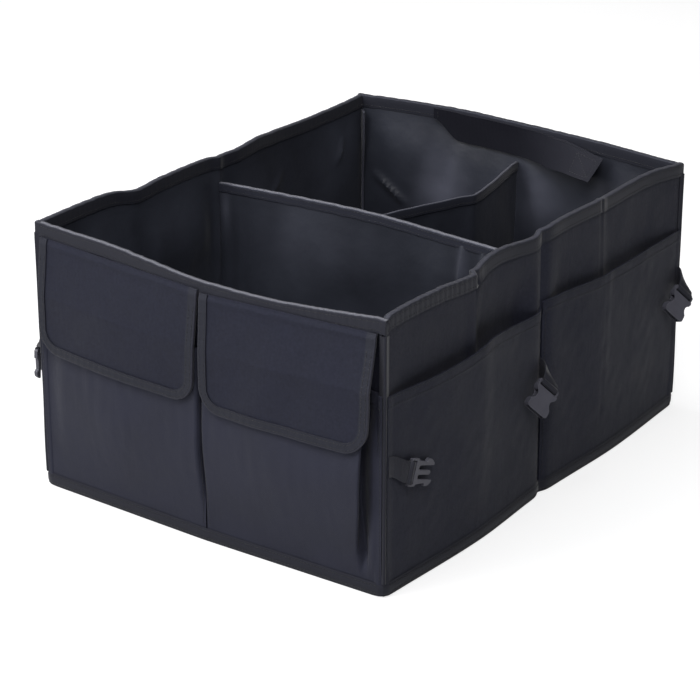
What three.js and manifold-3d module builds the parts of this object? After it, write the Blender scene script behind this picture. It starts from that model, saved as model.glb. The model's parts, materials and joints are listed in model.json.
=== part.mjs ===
// Folding storage box for a car boot: sewn cloth panels stiffened by boards, with dividers,
// flap pockets on the front, patch pockets and half buckles on both sides.
// Millimetres. X runs along the front wall, Y from the front to the rear, Z up. The origin is
// at the middle of the underside.
import * as THREE from "three";
import { mergeVertices } from "three/addons/utils/BufferGeometryUtils.js";
import Module from "manifold-3d";

// Overall size, at the corners of the outer faces
const WIDTH = 388;
const LENGTH = 508;
const HEIGHT = 260;

// Materials as thicknesses
const WALL_T = 4;
const CLOTH_T = 1.2;
const TAPE_T = 0.8;
const STRAP_T = 1.8;
const FLOOR_T = 2;
const BOARD_T = 3;
const PATCH_T = 0.8;
const GAP = 0.3; // between pieces that touch on the real box
const EASE = 0.3; // more of it between two layers of cloth that are bowed

// Tapes
const RIM_TAPE_H = 13;
const BASE_TAPE_H = 13;
const DIVIDER_TAPE_H = 9;
const FLAP_TAPE_W = 9;
const CORNER_TAPE_W = 5;

// Front pockets and their flaps
const POCKET_DROP = 70; // from the rim down to the pockets' top edges
const POCKET_MARGIN = 6; // from the corner of the box
const CENTRE_SEAM = 3; // half the strip between the two pockets
const GUSSET_W = 12;
const POCKET_FILL_H = 90; // the height over which a pocket opens out
const FLAP_MARGIN = 6.5;
const FLAP_CENTRE = 5;
const FLAP_T = 1.4;
const FLAP_H = 102;
const FLAP_R = 24;
const HINGE_OUT = 3.6; // the flap's fold line in front of the wall
const FLAP_FLAT_H = 13; // the flap hangs straight down this far before it rises over the pocket
const PATCH_W = 56;
const PATCH_H = 20;
const PATCH_RISE = 12; // above the flap's lower edge

// Side pockets
const SIDE_POCKET_DROP = 71;
const SIDE_POCKET_FILL = 9;
const SIDE_SEAM = 1.6; // half the groove between the two side pockets
const SEAM_PINCH = 4; // how far the middle seam is drawn in
const STATION = 20; // the spacing of the places that a wall and all that lies on it share

// The loose boards on the floor
const BOARD_MARGIN = 4; // clear of the walls' inner faces

// Dividers
const DIVIDER_DROP = 25; // below the box's rim
const DIVIDER_BOW = 7;
const SOFT_DIVIDER_DROP = 38;
const SOFT_FOLDS = 20;

// Webbing and half buckles
const WEB_W = 19.6;
const TAB_T = 1.6; // two pressed layers of the webbing
const BUCKLE_W = 25;
const SLOT_W = 20.8;
const SLOT_END = 4.9;
const BAR_R = 1.5;
const BAR_T = 2.4;
const FRAME_T = 3.6;
const MALE_LENGTH = 32;
const FEMALE_LENGTH = 28.5;
const FEMALE_T = 7;
const EYE_IN = 2.25;
const EYE_OUT = 3.25;

// Carry strap inside the rear wall
const STRAP_W = 30;
const STRAP_FROM = -100;
const STRAP_TO = 108;

const POCKET_TOP = HEIGHT - POCKET_DROP;
const SIDE_POCKET_TOP = HEIGHT - SIDE_POCKET_DROP;
const DIVIDER_H = HEIGHT - DIVIDER_DROP;
const SOFT_DIVIDER_H = HEIGHT - SOFT_DIVIDER_DROP;

// Places along a wall go from -1 to 1; each pair is the place and an amount in millimetres.
// TOP_OUT and BASE_OUT say how far a wall stands outside its straight line, RISE how its rim waves.
const FRONT_TOP_OUT = [[-1, 0], [-0.96, 0], [-0.04, 7], [0.04, 7], [0.96, 0], [1, 0]];
const FRONT_BASE_OUT = [[-1, 0], [-0.96, 0], [-0.04, 4], [0.04, 4], [0.96, 0], [1, 0]];
const FRONT_RISE = [[-1, 4.5], [-0.8, 3], [-0.54, 2], [-0.3, -2], [0, -7], [0.4, -8.5], [0.63, -6], [0.96, -1],
  [1, -1]];
const REAR_TOP_OUT = [[-1, 0], [-0.96, 0], [-0.5, 8], [0, 12], [0.5, 9], [0.96, 0], [1, 0]];
const REAR_BASE_OUT = [[-1, 0], [-0.96, 0], [0, 4], [0.96, 0], [1, 0]];
const REAR_RISE = [[-1, 2], [-0.7, 3.5], [-0.35, 4], [0, 2], [0.4, 0.5], [1, -1.5]];
const RIGHT_TOP_OUT = [[-1, 0], [-0.96, 0], [-0.7, 1], [-0.45, 1], [-0.36, -6], [-0.2, -7], [0, -2], [0.15, -3],
  [0.4, -2], [0.46, -5], [0.75, -5], [0.96, 0], [1, 0]];
const RIGHT_BASE_OUT = [[-1, 0], [-0.96, 0], [-0.45, 6], [0, 1], [0.5, 5], [0.96, 0], [1, 0]];
const RIGHT_RISE = [[-1, -5], [-0.97, 1], [-0.7, 2], [-0.46, -2], [-0.28, 3], [-0.05, 0], [0.05, 4], [0.38, 4],
  [0.46, 2], [0.8, 3], [1, -1]];
const LEFT_TOP_OUT = [[-1, 0], [-0.96, 0], [-0.58, 4], [-0.46, -4], [0, -2], [0.12, -7], [0.45, 0], [0.96, 0],
  [1, 0]];
const LEFT_BASE_OUT = [[-1, 0], [-0.96, 0], [-0.5, 5], [0, 1], [0.5, 5], [0.96, 0], [1, 0]];
const LEFT_RISE = [[-1, 4.5], [-0.86, 4.5], [-0.6, 2.5], [-0.48, -1], [-0.36, 1.5], [-0.1, 1.5], [0.05, 0],
  [0.25, 3], [0.37, 1], [0.6, -1], [0.85, 0], [1, 2]];

// The fold lines of the flaps: how far below the rim they lie at the box's corner and at its middle
const LEFT_FOLD = { corner: 14.5, middle: 20.7 };
const RIGHT_FOLD = { corner: 20, middle: 23.4 };
// How far the front pockets open out at the box's corner, half way and at its middle, and the share of that
// which is left at their top edges, where they are drawn in again
const LEFT_FILL = { corner: 5, half: 10, middle: 8, drawn: 0.65 };
const RIGHT_FILL = { corner: 16, half: 14, middle: 8, drawn: 0.45 };

// The soft rear divider seen from above: X, and the share of the way from the rear wall to the middle divider
const SOFT_DIVIDER_PATH = [[0, 0], [3, 0.07], [13, 0.24], [22, 0.45], [17, 0.5], [2, 0.65], [-12, 0.8],
  [-24, 0.93], [-31, 1]];

// Where each buckle's bar is, as on the right-hand side: Y, Z and how far it is held off the pocket, then the
// directions of its length and its bar, and the height of its webbing's root. The left-hand ones are mirrored.
const MALE_FROM_CORNER = 27;
const LEFT_MALE_FROM_CORNER = 15;
const FEMALE_FROM_SEAM = 13;
const MALE_LENGTHWISE = [0.05, 0.94, -0.34];
const MALE_BAR = [0, 0.34, 0.94];
const HANGING_LENGTHWISE = [0.16, 0.1, -0.98];
const HANGING_BAR = [0.1, 0.99, 0.12];
const FEMALE_LENGTHWISE = [-0.05, -0.77, -0.63];
const FEMALE_BAR = [0.45, 0.55, -0.7];
const RIGHT_MALE = { y: -LENGTH / 2 + MALE_FROM_CORNER, z: 112, off: 0.9, length: MALE_LENGTHWISE,
  bar: MALE_BAR, rootZ: 124 };
const LEFT_MALE = { y: -LENGTH / 2 + LEFT_MALE_FROM_CORNER, z: 133, off: 7, length: HANGING_LENGTHWISE,
  bar: HANGING_BAR, rootZ: 148 };
const FEMALE_MIDDLE = { y: -FEMALE_FROM_SEAM, z: 118, off: 11, length: FEMALE_LENGTHWISE, bar: FEMALE_BAR,
  rootZ: 128 };
const FEMALE_REAR = { y: LENGTH / 2 - FEMALE_FROM_SEAM, z: 130, off: 10, length: FEMALE_LENGTHWISE,
  bar: FEMALE_BAR, rootZ: 142 };

const cloth = new THREE.MeshStandardMaterial({ color: 0x26262c, roughness: 0.85, metalness: 0 });
const tape = new THREE.MeshStandardMaterial({ color: 0x303036, roughness: 0.8, metalness: 0 });
const lining = new THREE.MeshStandardMaterial({ color: 0x1c1c21, roughness: 0.6, metalness: 0 });
const fastener = new THREE.MeshStandardMaterial({ color: 0x18181b, roughness: 1, metalness: 0 });
const plastic = new THREE.MeshStandardMaterial({ color: 0x8a8a90, roughness: 0.4, metalness: 0 });

const wasm = await Module();
wasm.setup();

const box = new THREE.Group();

function add(name, geometry, material) {
  const mesh = new THREE.Mesh(geometry, material);
  mesh.name = name;
  box.add(mesh);
}

const clamp = (x) => Math.min(1, Math.max(0, x));
const smooth = (x) => clamp(x) ** 2 * (3 - 2 * clamp(x));
const mix = (a, b, t) => a + (b - a) * t;

// A smooth line through [place, amount] points, as a function of the place
function wave(points) {
  const slopes = points.map((_, i) => {
    const before = points[Math.max(i - 1, 0)];
    const after = points[Math.min(i + 1, points.length - 1)];
    return (after[1] - before[1]) / (after[0] - before[0]);
  });
  return (place) => {
    const p = Math.min(1, Math.max(-1, place));
    const next = points.findIndex((q) => q[0] > p);
    const i = next < 0 ? points.length - 2 : Math.max(0, next - 1);
    const [a, b] = [points[i], points[i + 1]];
    const span = b[0] - a[0];
    const t = (p - a[0]) / span;
    const ends = mix(a[1], b[1], t * t * (3 - 2 * t));
    return ends + span * (slopes[i] * t * (1 - t) ** 2 - slopes[i + 1] * t * t * (1 - t));
  };
}

// The closed surface as a solid for joining and cutting
function solidOf(geometry) {
  const bare = geometry.clone();
  bare.deleteAttribute("normal");
  bare.deleteAttribute("uv");
  const merged = mergeVertices(bare, 1e-4);
  return new wasm.Manifold(new wasm.Mesh({
    numProp: 3,
    vertProperties: merged.attributes.position.array,
    triVerts: new Uint32Array(merged.index.array),
  }));
}

function geometryOf(solid) {
  const mesh = solid.getMesh();
  const geometry = new THREE.BufferGeometry();
  geometry.setAttribute("position", new THREE.BufferAttribute(new Float32Array(mesh.vertProperties), 3));
  geometry.setIndex(new THREE.BufferAttribute(new Uint32Array(mesh.triVerts), 1));
  geometry.computeVertexNormals();
  return geometry;
}

// Six times the volume inside a closed surface, negative if its faces point inwards
function signedVolume(geometry) {
  const p = geometry.attributes.position;
  const [a, b, c] = [new THREE.Vector3(), new THREE.Vector3(), new THREE.Vector3()];
  const corner = geometry.index ? (i) => geometry.index.getX(i) : (i) => i;
  const count = geometry.index ? geometry.index.count : p.count;
  let sum = 0;
  for (let i = 0; i < count; i += 3) {
    a.fromBufferAttribute(p, corner(i));
    b.fromBufferAttribute(p, corner(i + 1));
    c.fromBufferAttribute(p, corner(i + 2));
    sum += a.dot(b.cross(c));
  }
  return sum;
}

function facingOut(geometry) {
  if (signedVolume(geometry) < 0) {
    const flat = geometry.index ? geometry : mergeVertices(geometry);
    const index = flat.index.array;
    for (let i = 0; i < index.length; i += 3) [index[i], index[i + 1]] = [index[i + 1], index[i]];
    flat.computeVertexNormals();
    return flat;
  }
  geometry.computeVertexNormals();
  return geometry;
}

// Moves every corner of a plain geometry to where place(x, y, z) says
function bent(geometry, place) {
  const p = geometry.attributes.position;
  for (let i = 0; i < p.count; i++) {
    const v = place(p.getX(i), p.getY(i), p.getZ(i));
    p.setXYZ(i, v.x, v.y, v.z);
  }
  return facingOut(geometry);
}

// A bent sheet: place(a, b, w) gives its corners for each a and b of the two lists, with w 0 on its inner
// face and 1 on its outer face
function sheet(along, up, place) {
  const plain = new THREE.BoxGeometry(1, 1, 1, along.length - 1, up.length - 1, 1);
  const pick = (list, x) => list[Math.round((x + 0.5) * (list.length - 1))];
  return bent(plain, (x, y, z) => place(pick(along, x), pick(up, y), z + 0.5));
}

// A section drawn in (x, y) and carried along: place(x, y, a) gives its corners at each a of the list
function run(section, along, place) {
  const shape = new THREE.Shape(section.map(([x, y]) => new THREE.Vector2(x, y)));
  const steps = along.length - 1;
  const plain = new THREE.ExtrudeGeometry(shape, { depth: 1, steps, bevelEnabled: false });
  return bent(plain, (x, y, z) => place(x, y, along[Math.round(z * steps)]));
}

function steps(from, to, count) {
  return Array.from({ length: count + 1 }, (_, i) => mix(from, to, i / count));
}

// The two ends and every shared station between them
function stations(from, to) {
  const [low, high] = [Math.min(from, to), Math.max(from, to)];
  const inside = [];
  for (let i = Math.ceil(low / STATION); i * STATION < high; i++)
    if (i * STATION > low + EASE && i * STATION < high - EASE) inside.push(i * STATION);
  return from < to ? [from, ...inside, to] : [from, ...inside.reverse(), to];
}

// A function of the place along a wall that runs straight between the shared stations
function stepped(f, half) {
  return (s) => {
    const i = Math.floor(s / STATION);
    const [a, b] = [Math.max(i * STATION, -half), Math.min((i + 1) * STATION, half)];
    return b <= a ? f(s / half) : mix(f(a / half), f(b / half), (s - a) / (b - a));
  };
}

// A tape folded over an edge: from depth below the crest on the outside, over it, and down the inside.
// x is the distance outwards from the piece's outer face, y the height above the crest.
function foldedTape(thickness, depth) {
  const outer = GAP + TAPE_T;
  const inner = -thickness - GAP;
  const round = TAPE_T / 2;
  const back = inner - TAPE_T;
  return [[outer, -depth], [outer, -round], [outer - round, 0], [back + round, 0], [back, -round],
    [back, -depth], [inner, -depth], [inner, -TAPE_T], [GAP, -TAPE_T], [GAP, -depth]];
}

// Walls. at(s, z, out) is the point at place s along the wall, height z and distance out from its outer face.
function makeWall(half, topOut, baseOut, rise, pinch, point) {
  const [top, base, rim] = [topOut, baseOut, rise].map((points) => stepped(wave(points), half));
  const drawnIn = stepped((share) => (share === 0 ? pinch : 0), half);
  return {
    half,
    rim: (s) => HEIGHT + rim(s),
    at: (s, z, out) => point(s, z, mix(base(s), top(s), z / HEIGHT) - drawnIn(s) + out),
  };
}

const front = makeWall(WIDTH / 2, FRONT_TOP_OUT, FRONT_BASE_OUT, FRONT_RISE, 0,
  (s, z, n) => new THREE.Vector3(s, -LENGTH / 2 - n, z));
const rear = makeWall(WIDTH / 2, REAR_TOP_OUT, REAR_BASE_OUT, REAR_RISE, 0,
  (s, z, n) => new THREE.Vector3(s, LENGTH / 2 + n, z));
const right = makeWall(LENGTH / 2, RIGHT_TOP_OUT, RIGHT_BASE_OUT, RIGHT_RISE, SEAM_PINCH,
  (s, z, n) => new THREE.Vector3(WIDTH / 2 + n, s, z));
const left = makeWall(LENGTH / 2, LEFT_TOP_OUT, LEFT_BASE_OUT, LEFT_RISE, SEAM_PINCH,
  (s, z, n) => new THREE.Vector3(-WIDTH / 2 - n, s, z));
const sides = { left, right };

const WALL_BASE = FLOOR_T + GAP;
const TAPE_OUT = GAP + TAPE_T; // a tape's outer face in front of what it is sewn to
const POCKET_FOOT = GAP + EASE; // a pocket's inner face in front of the wall, where it is sewn down
const OVER_POCKET = POCKET_FOOT + CLOTH_T + GAP + EASE; // the inner face of what lies over that
const END_HALF = WIDTH / 2 - WALL_T - 3 * GAP - TAPE_T; // the end walls reach the side walls' rim tape

function panel(wall, from, to) {
  const rows = [0, 0.33, 0.66, 1, 2]; // 1 is the foot of the rim tape, 2 the top edge
  return sheet(stations(from, to), rows, (s, row, w) => {
    const foot = wall.rim(s) - RIM_TAPE_H;
    const z = row > 1 ? wall.rim(s) - TAPE_OUT : mix(WALL_BASE, foot, row);
    return wall.at(s, z, (w - 1) * WALL_T);
  });
}

function rimTape(wall, from, to) {
  return run(foldedTape(WALL_T, RIM_TAPE_H), stations(from, to), (x, y, s) => wall.at(s, wall.rim(s) + y, x));
}

// A flat tape round the foot of a wall, standing out to clear what lies under it
function baseTape(wall, from, to, out) {
  return sheet(stations(from, to), [GAP, BASE_TAPE_H], (s, z, w) => wall.at(s, z, out + w * TAPE_T));
}

function buildWalls() {
  add("front_wall", panel(front, -END_HALF, END_HALF), cloth);
  add("rear_wall", panel(rear, -END_HALF, END_HALF), cloth);
  const half = LENGTH / 2;
  for (const [side, wall] of Object.entries(sides)) {
    add(`${side}_wall_front_half`, panel(wall, -half, -GAP), cloth);
    add(`${side}_wall_rear_half`, panel(wall, GAP, half), cloth);
    add(`${side}_rim_tape`, rimTape(wall, -half, half), tape);
    add(`${side}_base_tape`, baseTape(wall, -half - OVER_POCKET + GAP, half, OVER_POCKET), tape);
  }
  add("front_rim_tape", rimTape(front, -END_HALF, END_HALF), tape);
  add("rear_rim_tape", rimTape(rear, -END_HALF, END_HALF), tape);
  const reach = WIDTH / 2 + OVER_POCKET + TAPE_T;
  add("front_base_tape", baseTape(front, -reach, reach, OVER_POCKET), tape);
  add("rear_base_tape", baseTape(rear, -reach, reach, GAP), tape);
}

// The cloth underside follows the feet of the four walls
function buildFloor() {
  const outline = [];
  const follow = (wall, from, to) => {
    for (const s of stations(from * wall.half, to * wall.half).slice(0, -1)) outline.push(wall.at(s, 0, 0));
  };
  follow(front, -1, 1);
  follow(right, -1, 1);
  follow(rear, 1, -1);
  follow(left, 1, -1);
  const shape = new THREE.Shape(outline.map((p) => new THREE.Vector2(p.x, p.y)));
  const plate = new THREE.ExtrudeGeometry(shape, { depth: FLOOR_T, bevelEnabled: false });
  add("floor_panel", facingOut(plate), cloth);
}

// Two loose stiffening boards lie on the floor, one in front of the divider and one behind it
function buildBoards() {
  const halfWidth = WIDTH / 2 - WALL_T - SEAM_PINCH - BOARD_MARGIN;
  const far = LENGTH / 2 - WALL_T - BOARD_MARGIN;
  const near = WALL_T / 2 + DIVIDER_BOW + BOARD_MARGIN;
  for (const [name, from, to] of [["front_base_board", -far, -near], ["rear_base_board", near, far]]) {
    const board = new THREE.BoxGeometry(2 * halfWidth, to - from, BOARD_T, 1, 1, 1);
    board.translate(0, (from + to) / 2, WALL_BASE + BOARD_T / 2);
    add(name, board, lining);
  }
}

// The folded tape down each corner, from the rim tape to the base tape
function buildCornerTapes() {
  const legs = [[GAP, -CORNER_TAPE_W], [TAPE_OUT, -CORNER_TAPE_W], [TAPE_OUT, TAPE_OUT - TAPE_T / 2],
    [TAPE_OUT - TAPE_T / 2, TAPE_OUT], [-CORNER_TAPE_W, TAPE_OUT], [-CORNER_TAPE_W, GAP], [GAP, GAP]];
  for (const [side, x] of [["left", -1], ["right", 1]]) {
    for (const [end, y, wall] of [["front", -1, front], ["rear", 1, rear]]) {
      const rim = Math.min(sides[side].rim(y * LENGTH / 2), wall.rim(x * WIDTH / 2), wall.rim(x * END_HALF));
      const heights = [BASE_TAPE_H + GAP, rim - RIM_TAPE_H - GAP];
      const geometry = run(legs, heights, (a, b, z) =>
        new THREE.Vector3(x * (WIDTH / 2 + a), y * (LENGTH / 2 + b), z));
      add(`${end}_${side}_corner_tape`, geometry, tape);
    }
  }
}

// The stiff divider crosses the box at the side walls' middle seam, the soft one folds between it and the
// rear wall
const dividerY = (x) => DIVIDER_BOW * Math.cos((Math.PI * x) / WIDTH);
const dividerRim = wave([[-1, -1], [-0.5, 1], [0, 2], [0.5, -1], [1, -3]]);

function buildMiddleDivider() {
  const across = steps(0, 1, 12);
  const top = (u) => DIVIDER_H + dividerRim(2 * u - 1);
  const between = (u, z) => mix(left.at(0, z, -WALL_T).x + 2 * GAP, right.at(0, z, -WALL_T).x - 2 * GAP, u);
  add("middle_divider", sheet(across, [0, 1], (u, v, w) => {
    const z = mix(WALL_BASE, top(u) - TAPE_OUT, v);
    const x = between(u, z);
    return new THREE.Vector3(x, dividerY(x) + (0.5 - w) * WALL_T, z);
  }), lining);
  add("middle_divider_tape", run(foldedTape(WALL_T, DIVIDER_TAPE_H), across, (n, y, u) => {
    const z = top(u) + y;
    const x = between(u, z);
    return new THREE.Vector3(x, dividerY(x) - WALL_T / 2 - n, z);
  }), tape);
}

function buildSoftDivider() {
  const full = LENGTH / 2;
  const points = SOFT_DIVIDER_PATH.map(([x, share]) => new THREE.Vector3(x, -share * full, 0));
  const path = new THREE.CatmullRomCurve3(points, false, "centripetal");
  const nearest = WALL_T / 2 + TAPE_OUT + 2 * GAP; // from the middle divider's own line
  const beside = (t, n, z) => {
    const p = path.getPoint(t);
    const along = path.getTangent(t);
    const y = mix(rear.at(0, z, -WALL_T).y - 2 * GAP, dividerY(p.x) + nearest, -p.y / full);
    return new THREE.Vector3(p.x + along.y * n, y - along.x * n, z);
  };
  const foot = WALL_BASE + BOARD_T + GAP;
  const folds = steps(0, 1, SOFT_FOLDS);
  add("soft_divider", sheet(folds, [foot, SOFT_DIVIDER_H - TAPE_OUT], (t, z, w) =>
    beside(t, (w - 1) * CLOTH_T, z)), lining);
  add("soft_divider_tape", run(foldedTape(CLOTH_T, DIVIDER_TAPE_H), folds, (n, y, t) =>
    beside(t, n, SOFT_DIVIDER_H + y)), tape);
}

// A front pocket with its flap. side is -1 for the left one and 1 for the right one.
function makeFrontPocket(side, fill, fold) {
  const cornerS = side * (WIDTH / 2 - POCKET_MARGIN);
  const middleS = side * CENTRE_SEAM;
  const share = (s) => (s - middleS) / (cornerS - middleS); // 0 at the middle of the box, 1 at its corner
  const opening = (s) => {
    const t = clamp(share(s));
    if (t < 0.5) return mix(fill.middle, fill.half, smooth(2 * t));
    return mix(fill.half, fill.corner, smooth(2 * t - 1));
  };
  const gusset = (s) => smooth(Math.min(Math.abs(s - middleS), Math.abs(cornerS - s)) / GUSSET_W);
  const fullest = BASE_TAPE_H + POCKET_FILL_H;
  const drawn = (z) => mix(1, fill.drawn, smooth((z - fullest) / (POCKET_TOP - fullest)));
  const lift = (z) => smooth((z - BASE_TAPE_H) / POCKET_FILL_H) * drawn(z);
  const foldZ = (s) => HEIGHT - mix(fold.middle, fold.corner, clamp(Math.abs(s) / (WIDTH / 2)));
  const ramp = foldZ(middleS) - POCKET_TOP - FLAP_FLAT_H - 4 * GAP;
  return {
    side,
    cornerS,
    middleS,
    foldZ,
    ramp,
    out: (s, z) => POCKET_FOOT + opening(s) * gusset(s) * lift(z), // the pocket's inner face
    flapOut(s, drop) {
      const hung = HINGE_OUT - FLAP_T / 2;
      const stack = 3 * GAP + EASE + 2 * PATCH_T; // the hook and loop patches lie between pocket and flap
      const low = POCKET_FOOT + opening(s) * lift(foldZ(s) - drop) + CLOTH_T + stack;
      return mix(hung, Math.max(low, hung), smooth((drop - FLAP_FLAT_H) / ramp));
    },
  };
}

const pockets = {
  left: makeFrontPocket(-1, LEFT_FILL, LEFT_FOLD),
  right: makeFrontPocket(1, RIGHT_FILL, RIGHT_FOLD),
};

// Stations with more of them within reach of both ends
function finerEnds(from, to, reach) {
  const way = Math.sign(to - from);
  const close = [0, 0.08, 0.25, 0.5, 0.75, 1].map((share) => share * reach);
  const between = stations(from, to).filter((s) => Math.min(Math.abs(s - from), Math.abs(to - s)) > reach + 2);
  return [...close.map((d) => from + way * d), ...between, ...close.reverse().map((d) => to - way * d)];
}

function buildFrontPockets() {
  for (const [name, pocket] of Object.entries(pockets)) {
    const rows = [WALL_BASE, ...steps(BASE_TAPE_H + GAP, POCKET_TOP, 6)];
    add(`${name}_front_pocket`, sheet(finerEnds(pocket.middleS, pocket.cornerS, GUSSET_W), rows, (s, z, w) =>
      front.at(s, z, pocket.out(s, z) + w * CLOTH_T)), cloth);
  }
}

// The outline of a flap: down its side at the middle of the box, round its lower edge and up its other side.
// Each point is its place, its drop below the fold line and the way inwards.
function flapOutline(pocket, drops) {
  const [from, to] = [pocket.side * FLAP_CENTRE, pocket.side * (WIDTH / 2 - FLAP_MARGIN)];
  const straight = FLAP_H - FLAP_R;
  const turns = steps(0, Math.PI / 2, 5);
  const side = pocket.side;
  const down = drops.filter((d) => d < straight - GAP);
  const flat = stations(from + side * FLAP_R, to - side * FLAP_R).slice(1, -1);
  const corner = (centre, a, way) => ({
    s: centre - way * side * FLAP_R * Math.cos(a),
    drop: straight + FLAP_R * Math.sin(a),
    inS: way * side * Math.cos(a),
    inDrop: -Math.sin(a),
  });
  return [
    ...down.map((drop) => ({ s: from, drop, inS: side, inDrop: 0 })),
    ...turns.map((a) => corner(from + side * FLAP_R, a, 1)),
    ...flat.map((s) => ({ s, drop: FLAP_H, inS: 0, inDrop: -1 })),
    ...turns.reverse().map((a) => corner(to - side * FLAP_R, a, -1)),
    ...down.reverse().map((drop) => ({ s: to, drop, inS: -side, inDrop: 0 })),
  ];
}

function buildFlaps() {
  for (const [name, pocket] of Object.entries(pockets)) {
    const onFlap = (s, drop, n) => front.at(s, pocket.foldZ(s) - drop, pocket.flapOut(s, drop) + n);
    const bendEnd = FLAP_FLAT_H + pocket.ramp;
    const bend = steps(FLAP_FLAT_H, bendEnd, 6);
    const drops = [0, ...bend, ...steps(bendEnd, FLAP_H - FLAP_R, 2).slice(1)];
    const from = pocket.side * (FLAP_CENTRE + TAPE_OUT);
    const to = pocket.side * (WIDTH / 2 - FLAP_MARGIN - TAPE_OUT);
    const radius = FLAP_R - TAPE_OUT;
    const lowest = (s) => {
      const beyond = Math.max(0, radius - Math.min(Math.abs(s - from), Math.abs(to - s)));
      return FLAP_H - TAPE_OUT - radius + Math.sqrt(radius ** 2 - beyond ** 2);
    };
    const below = [0.5, 1].map((share) => ({ share })); // rows between the straight part and the lower edge
    const lastDrop = drops[drops.length - 1];
    const flapRows = [...below.reverse(), ...drops.slice().reverse()];
    add(`${name}_flap`, sheet(finerEnds(from, to, radius), flapRows, (s, row, w) =>
      onFlap(s, row.share ? mix(lastDrop, lowest(s), row.share) : row, w * FLAP_T)), cloth);
    const section = foldedTape(FLAP_T + EASE, FLAP_TAPE_W);
    add(`${name}_flap_tape`, run(section, flapOutline(pocket, drops), (n, y, edge) =>
      onFlap(edge.s - edge.inS * y, edge.drop - edge.inDrop * y, FLAP_T + EASE / 2 + n)), tape);
    const middle = pocket.side * (WIDTH / 4);
    const patch = (place) => sheet(stations(middle - PATCH_W / 2, middle + PATCH_W / 2),
      [FLAP_H - PATCH_RISE, FLAP_H - PATCH_RISE - PATCH_H], place);
    add(`${name}_hook_patch`, patch((s, drop, w) => onFlap(s, drop, -GAP - w * PATCH_T)), fastener);
    add(`${name}_loop_patch`, patch((s, drop, w) => {
      const z = pocket.foldZ(s) - drop;
      return front.at(s, z, pocket.out(s, z) + CLOTH_T + GAP + EASE + w * PATCH_T);
    }), fastener);
  }
}

// Side pockets: one patch over each half of a side wall, opening out a little at the top
const sidePocketFrom = SIDE_SEAM;
const sidePocketTo = LENGTH / 2 - CORNER_TAPE_W - 2 * GAP;
const sideRim = wave([[-1, 0], [-0.55, 0], [-0.43, 3], [-0.02, -3], [0.02, 5], [0.4, 2], [1, 1]]);

function sidePocketOut(s, z) {
  const share = clamp((Math.abs(s) - sidePocketFrom) / (sidePocketTo - sidePocketFrom));
  const lift = smooth((z - BASE_TAPE_H) / (SIDE_POCKET_TOP - BASE_TAPE_H));
  return POCKET_FOOT + SIDE_POCKET_FILL * Math.sin(Math.PI * share) * lift;
}

function buildSidePockets() {
  const rows = [null, ...steps(0, 1, 4)]; // the foot, then shares of the way up from the base tape
  for (const [side, wall] of Object.entries(sides)) {
    for (const [end, y] of [["front", -1], ["rear", 1]]) {
      const along = stations(y * sidePocketFrom, y * sidePocketTo);
      add(`${side}_side_pocket_${end}`, sheet(along, rows, (s, row, w) => {
        const top = SIDE_POCKET_TOP + sideRim(s / wall.half);
        const z = row === null ? WALL_BASE : mix(BASE_TAPE_H + GAP, top, row);
        return wall.at(s, z, sidePocketOut(s, z) + w * CLOTH_T);
      }), cloth);
    }
  }
}

// Half buckles, drawn with the bar on X, the length along Y from the bar and the thickness along Z
function outlineShape(right) {
  const shape = new THREE.Shape();
  shape.moveTo(0, right[0][1]);
  for (const [x, y] of right) shape.lineTo(x, y);
  for (const [x, y] of [...right].reverse()) shape.lineTo(-x, y);
  return shape;
}

function slab(shape, thickness) {
  const options = { depth: thickness, bevelEnabled: false, curveSegments: 6 };
  const geometry = new THREE.ExtrudeGeometry(shape, options);
  geometry.translate(0, 0, -thickness / 2);
  return solidOf(geometry);
}

function block(width, from, to, low, high) {
  const geometry = new THREE.BoxGeometry(width, to - from, high - low);
  geometry.translate(0, (from + to) / 2, (low + high) / 2);
  return solidOf(geometry);
}

// The slot that the webbing passes through, and the slimmer bar that it wraps
function withSlot(solid) {
  const halfBar = BAR_T / 2;
  return solid
    .subtract(block(SLOT_W, BAR_R, SLOT_END, -FEMALE_T, FEMALE_T))
    .subtract(block(SLOT_W, -FRAME_T, SLOT_END, halfBar, FEMALE_T))
    .subtract(block(SLOT_W, -FRAME_T, SLOT_END, -FEMALE_T, -halfBar));
}

function maleBuckle() {
  const half = BUCKLE_W / 2;
  const right = [[half - 1, -BAR_R], [half, -BAR_R + 1], [half, 7.5], [10.6, 9.2], [9.6, 21], [11.9, 22.2],
    [half, 24], [11.6, 28], [9, MALE_LENGTH - 0.8], [7.2, MALE_LENGTH], [6.4, MALE_LENGTH - 1], [6.2, 11.5],
    [5.2, 10.2], [3, 10.2], [2.1, 11.5], [2.1, 26], [0.8, 28]];
  return geometryOf(withSlot(slab(outlineShape(right), FRAME_T)));
}

function femaleBuckle() {
  const half = BUCKLE_W / 2;
  const frameShape = outlineShape([[half - 1, -BAR_R], [half, -BAR_R + 1], [half, 7]]);
  const bodyShape = outlineShape([[half, SLOT_END], [half, 7], [11.6, 9.2], [9.4, 11], [8.5, 13], [8.7, 15.6],
    [10.2, 18], [11.9, 19.6], [half, 21.4], [half, FEMALE_LENGTH - 2], [11, FEMALE_LENGTH - 0.4],
    [7, FEMALE_LENGTH]]);
  const socket = block(2 * 10.1, 9, FEMALE_LENGTH + 1, -2.2, 2.2);
  const dimple = new THREE.CylinderGeometry(2.6, 2.6, 1.2, 16);
  dimple.rotateX(Math.PI / 2);
  dimple.translate(0, 16, FEMALE_T / 2);
  const body = slab(bodyShape, FEMALE_T).subtract(socket).subtract(solidOf(dimple));
  return geometryOf(withSlot(slab(frameShape, FRAME_T).add(body)));
}

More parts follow.
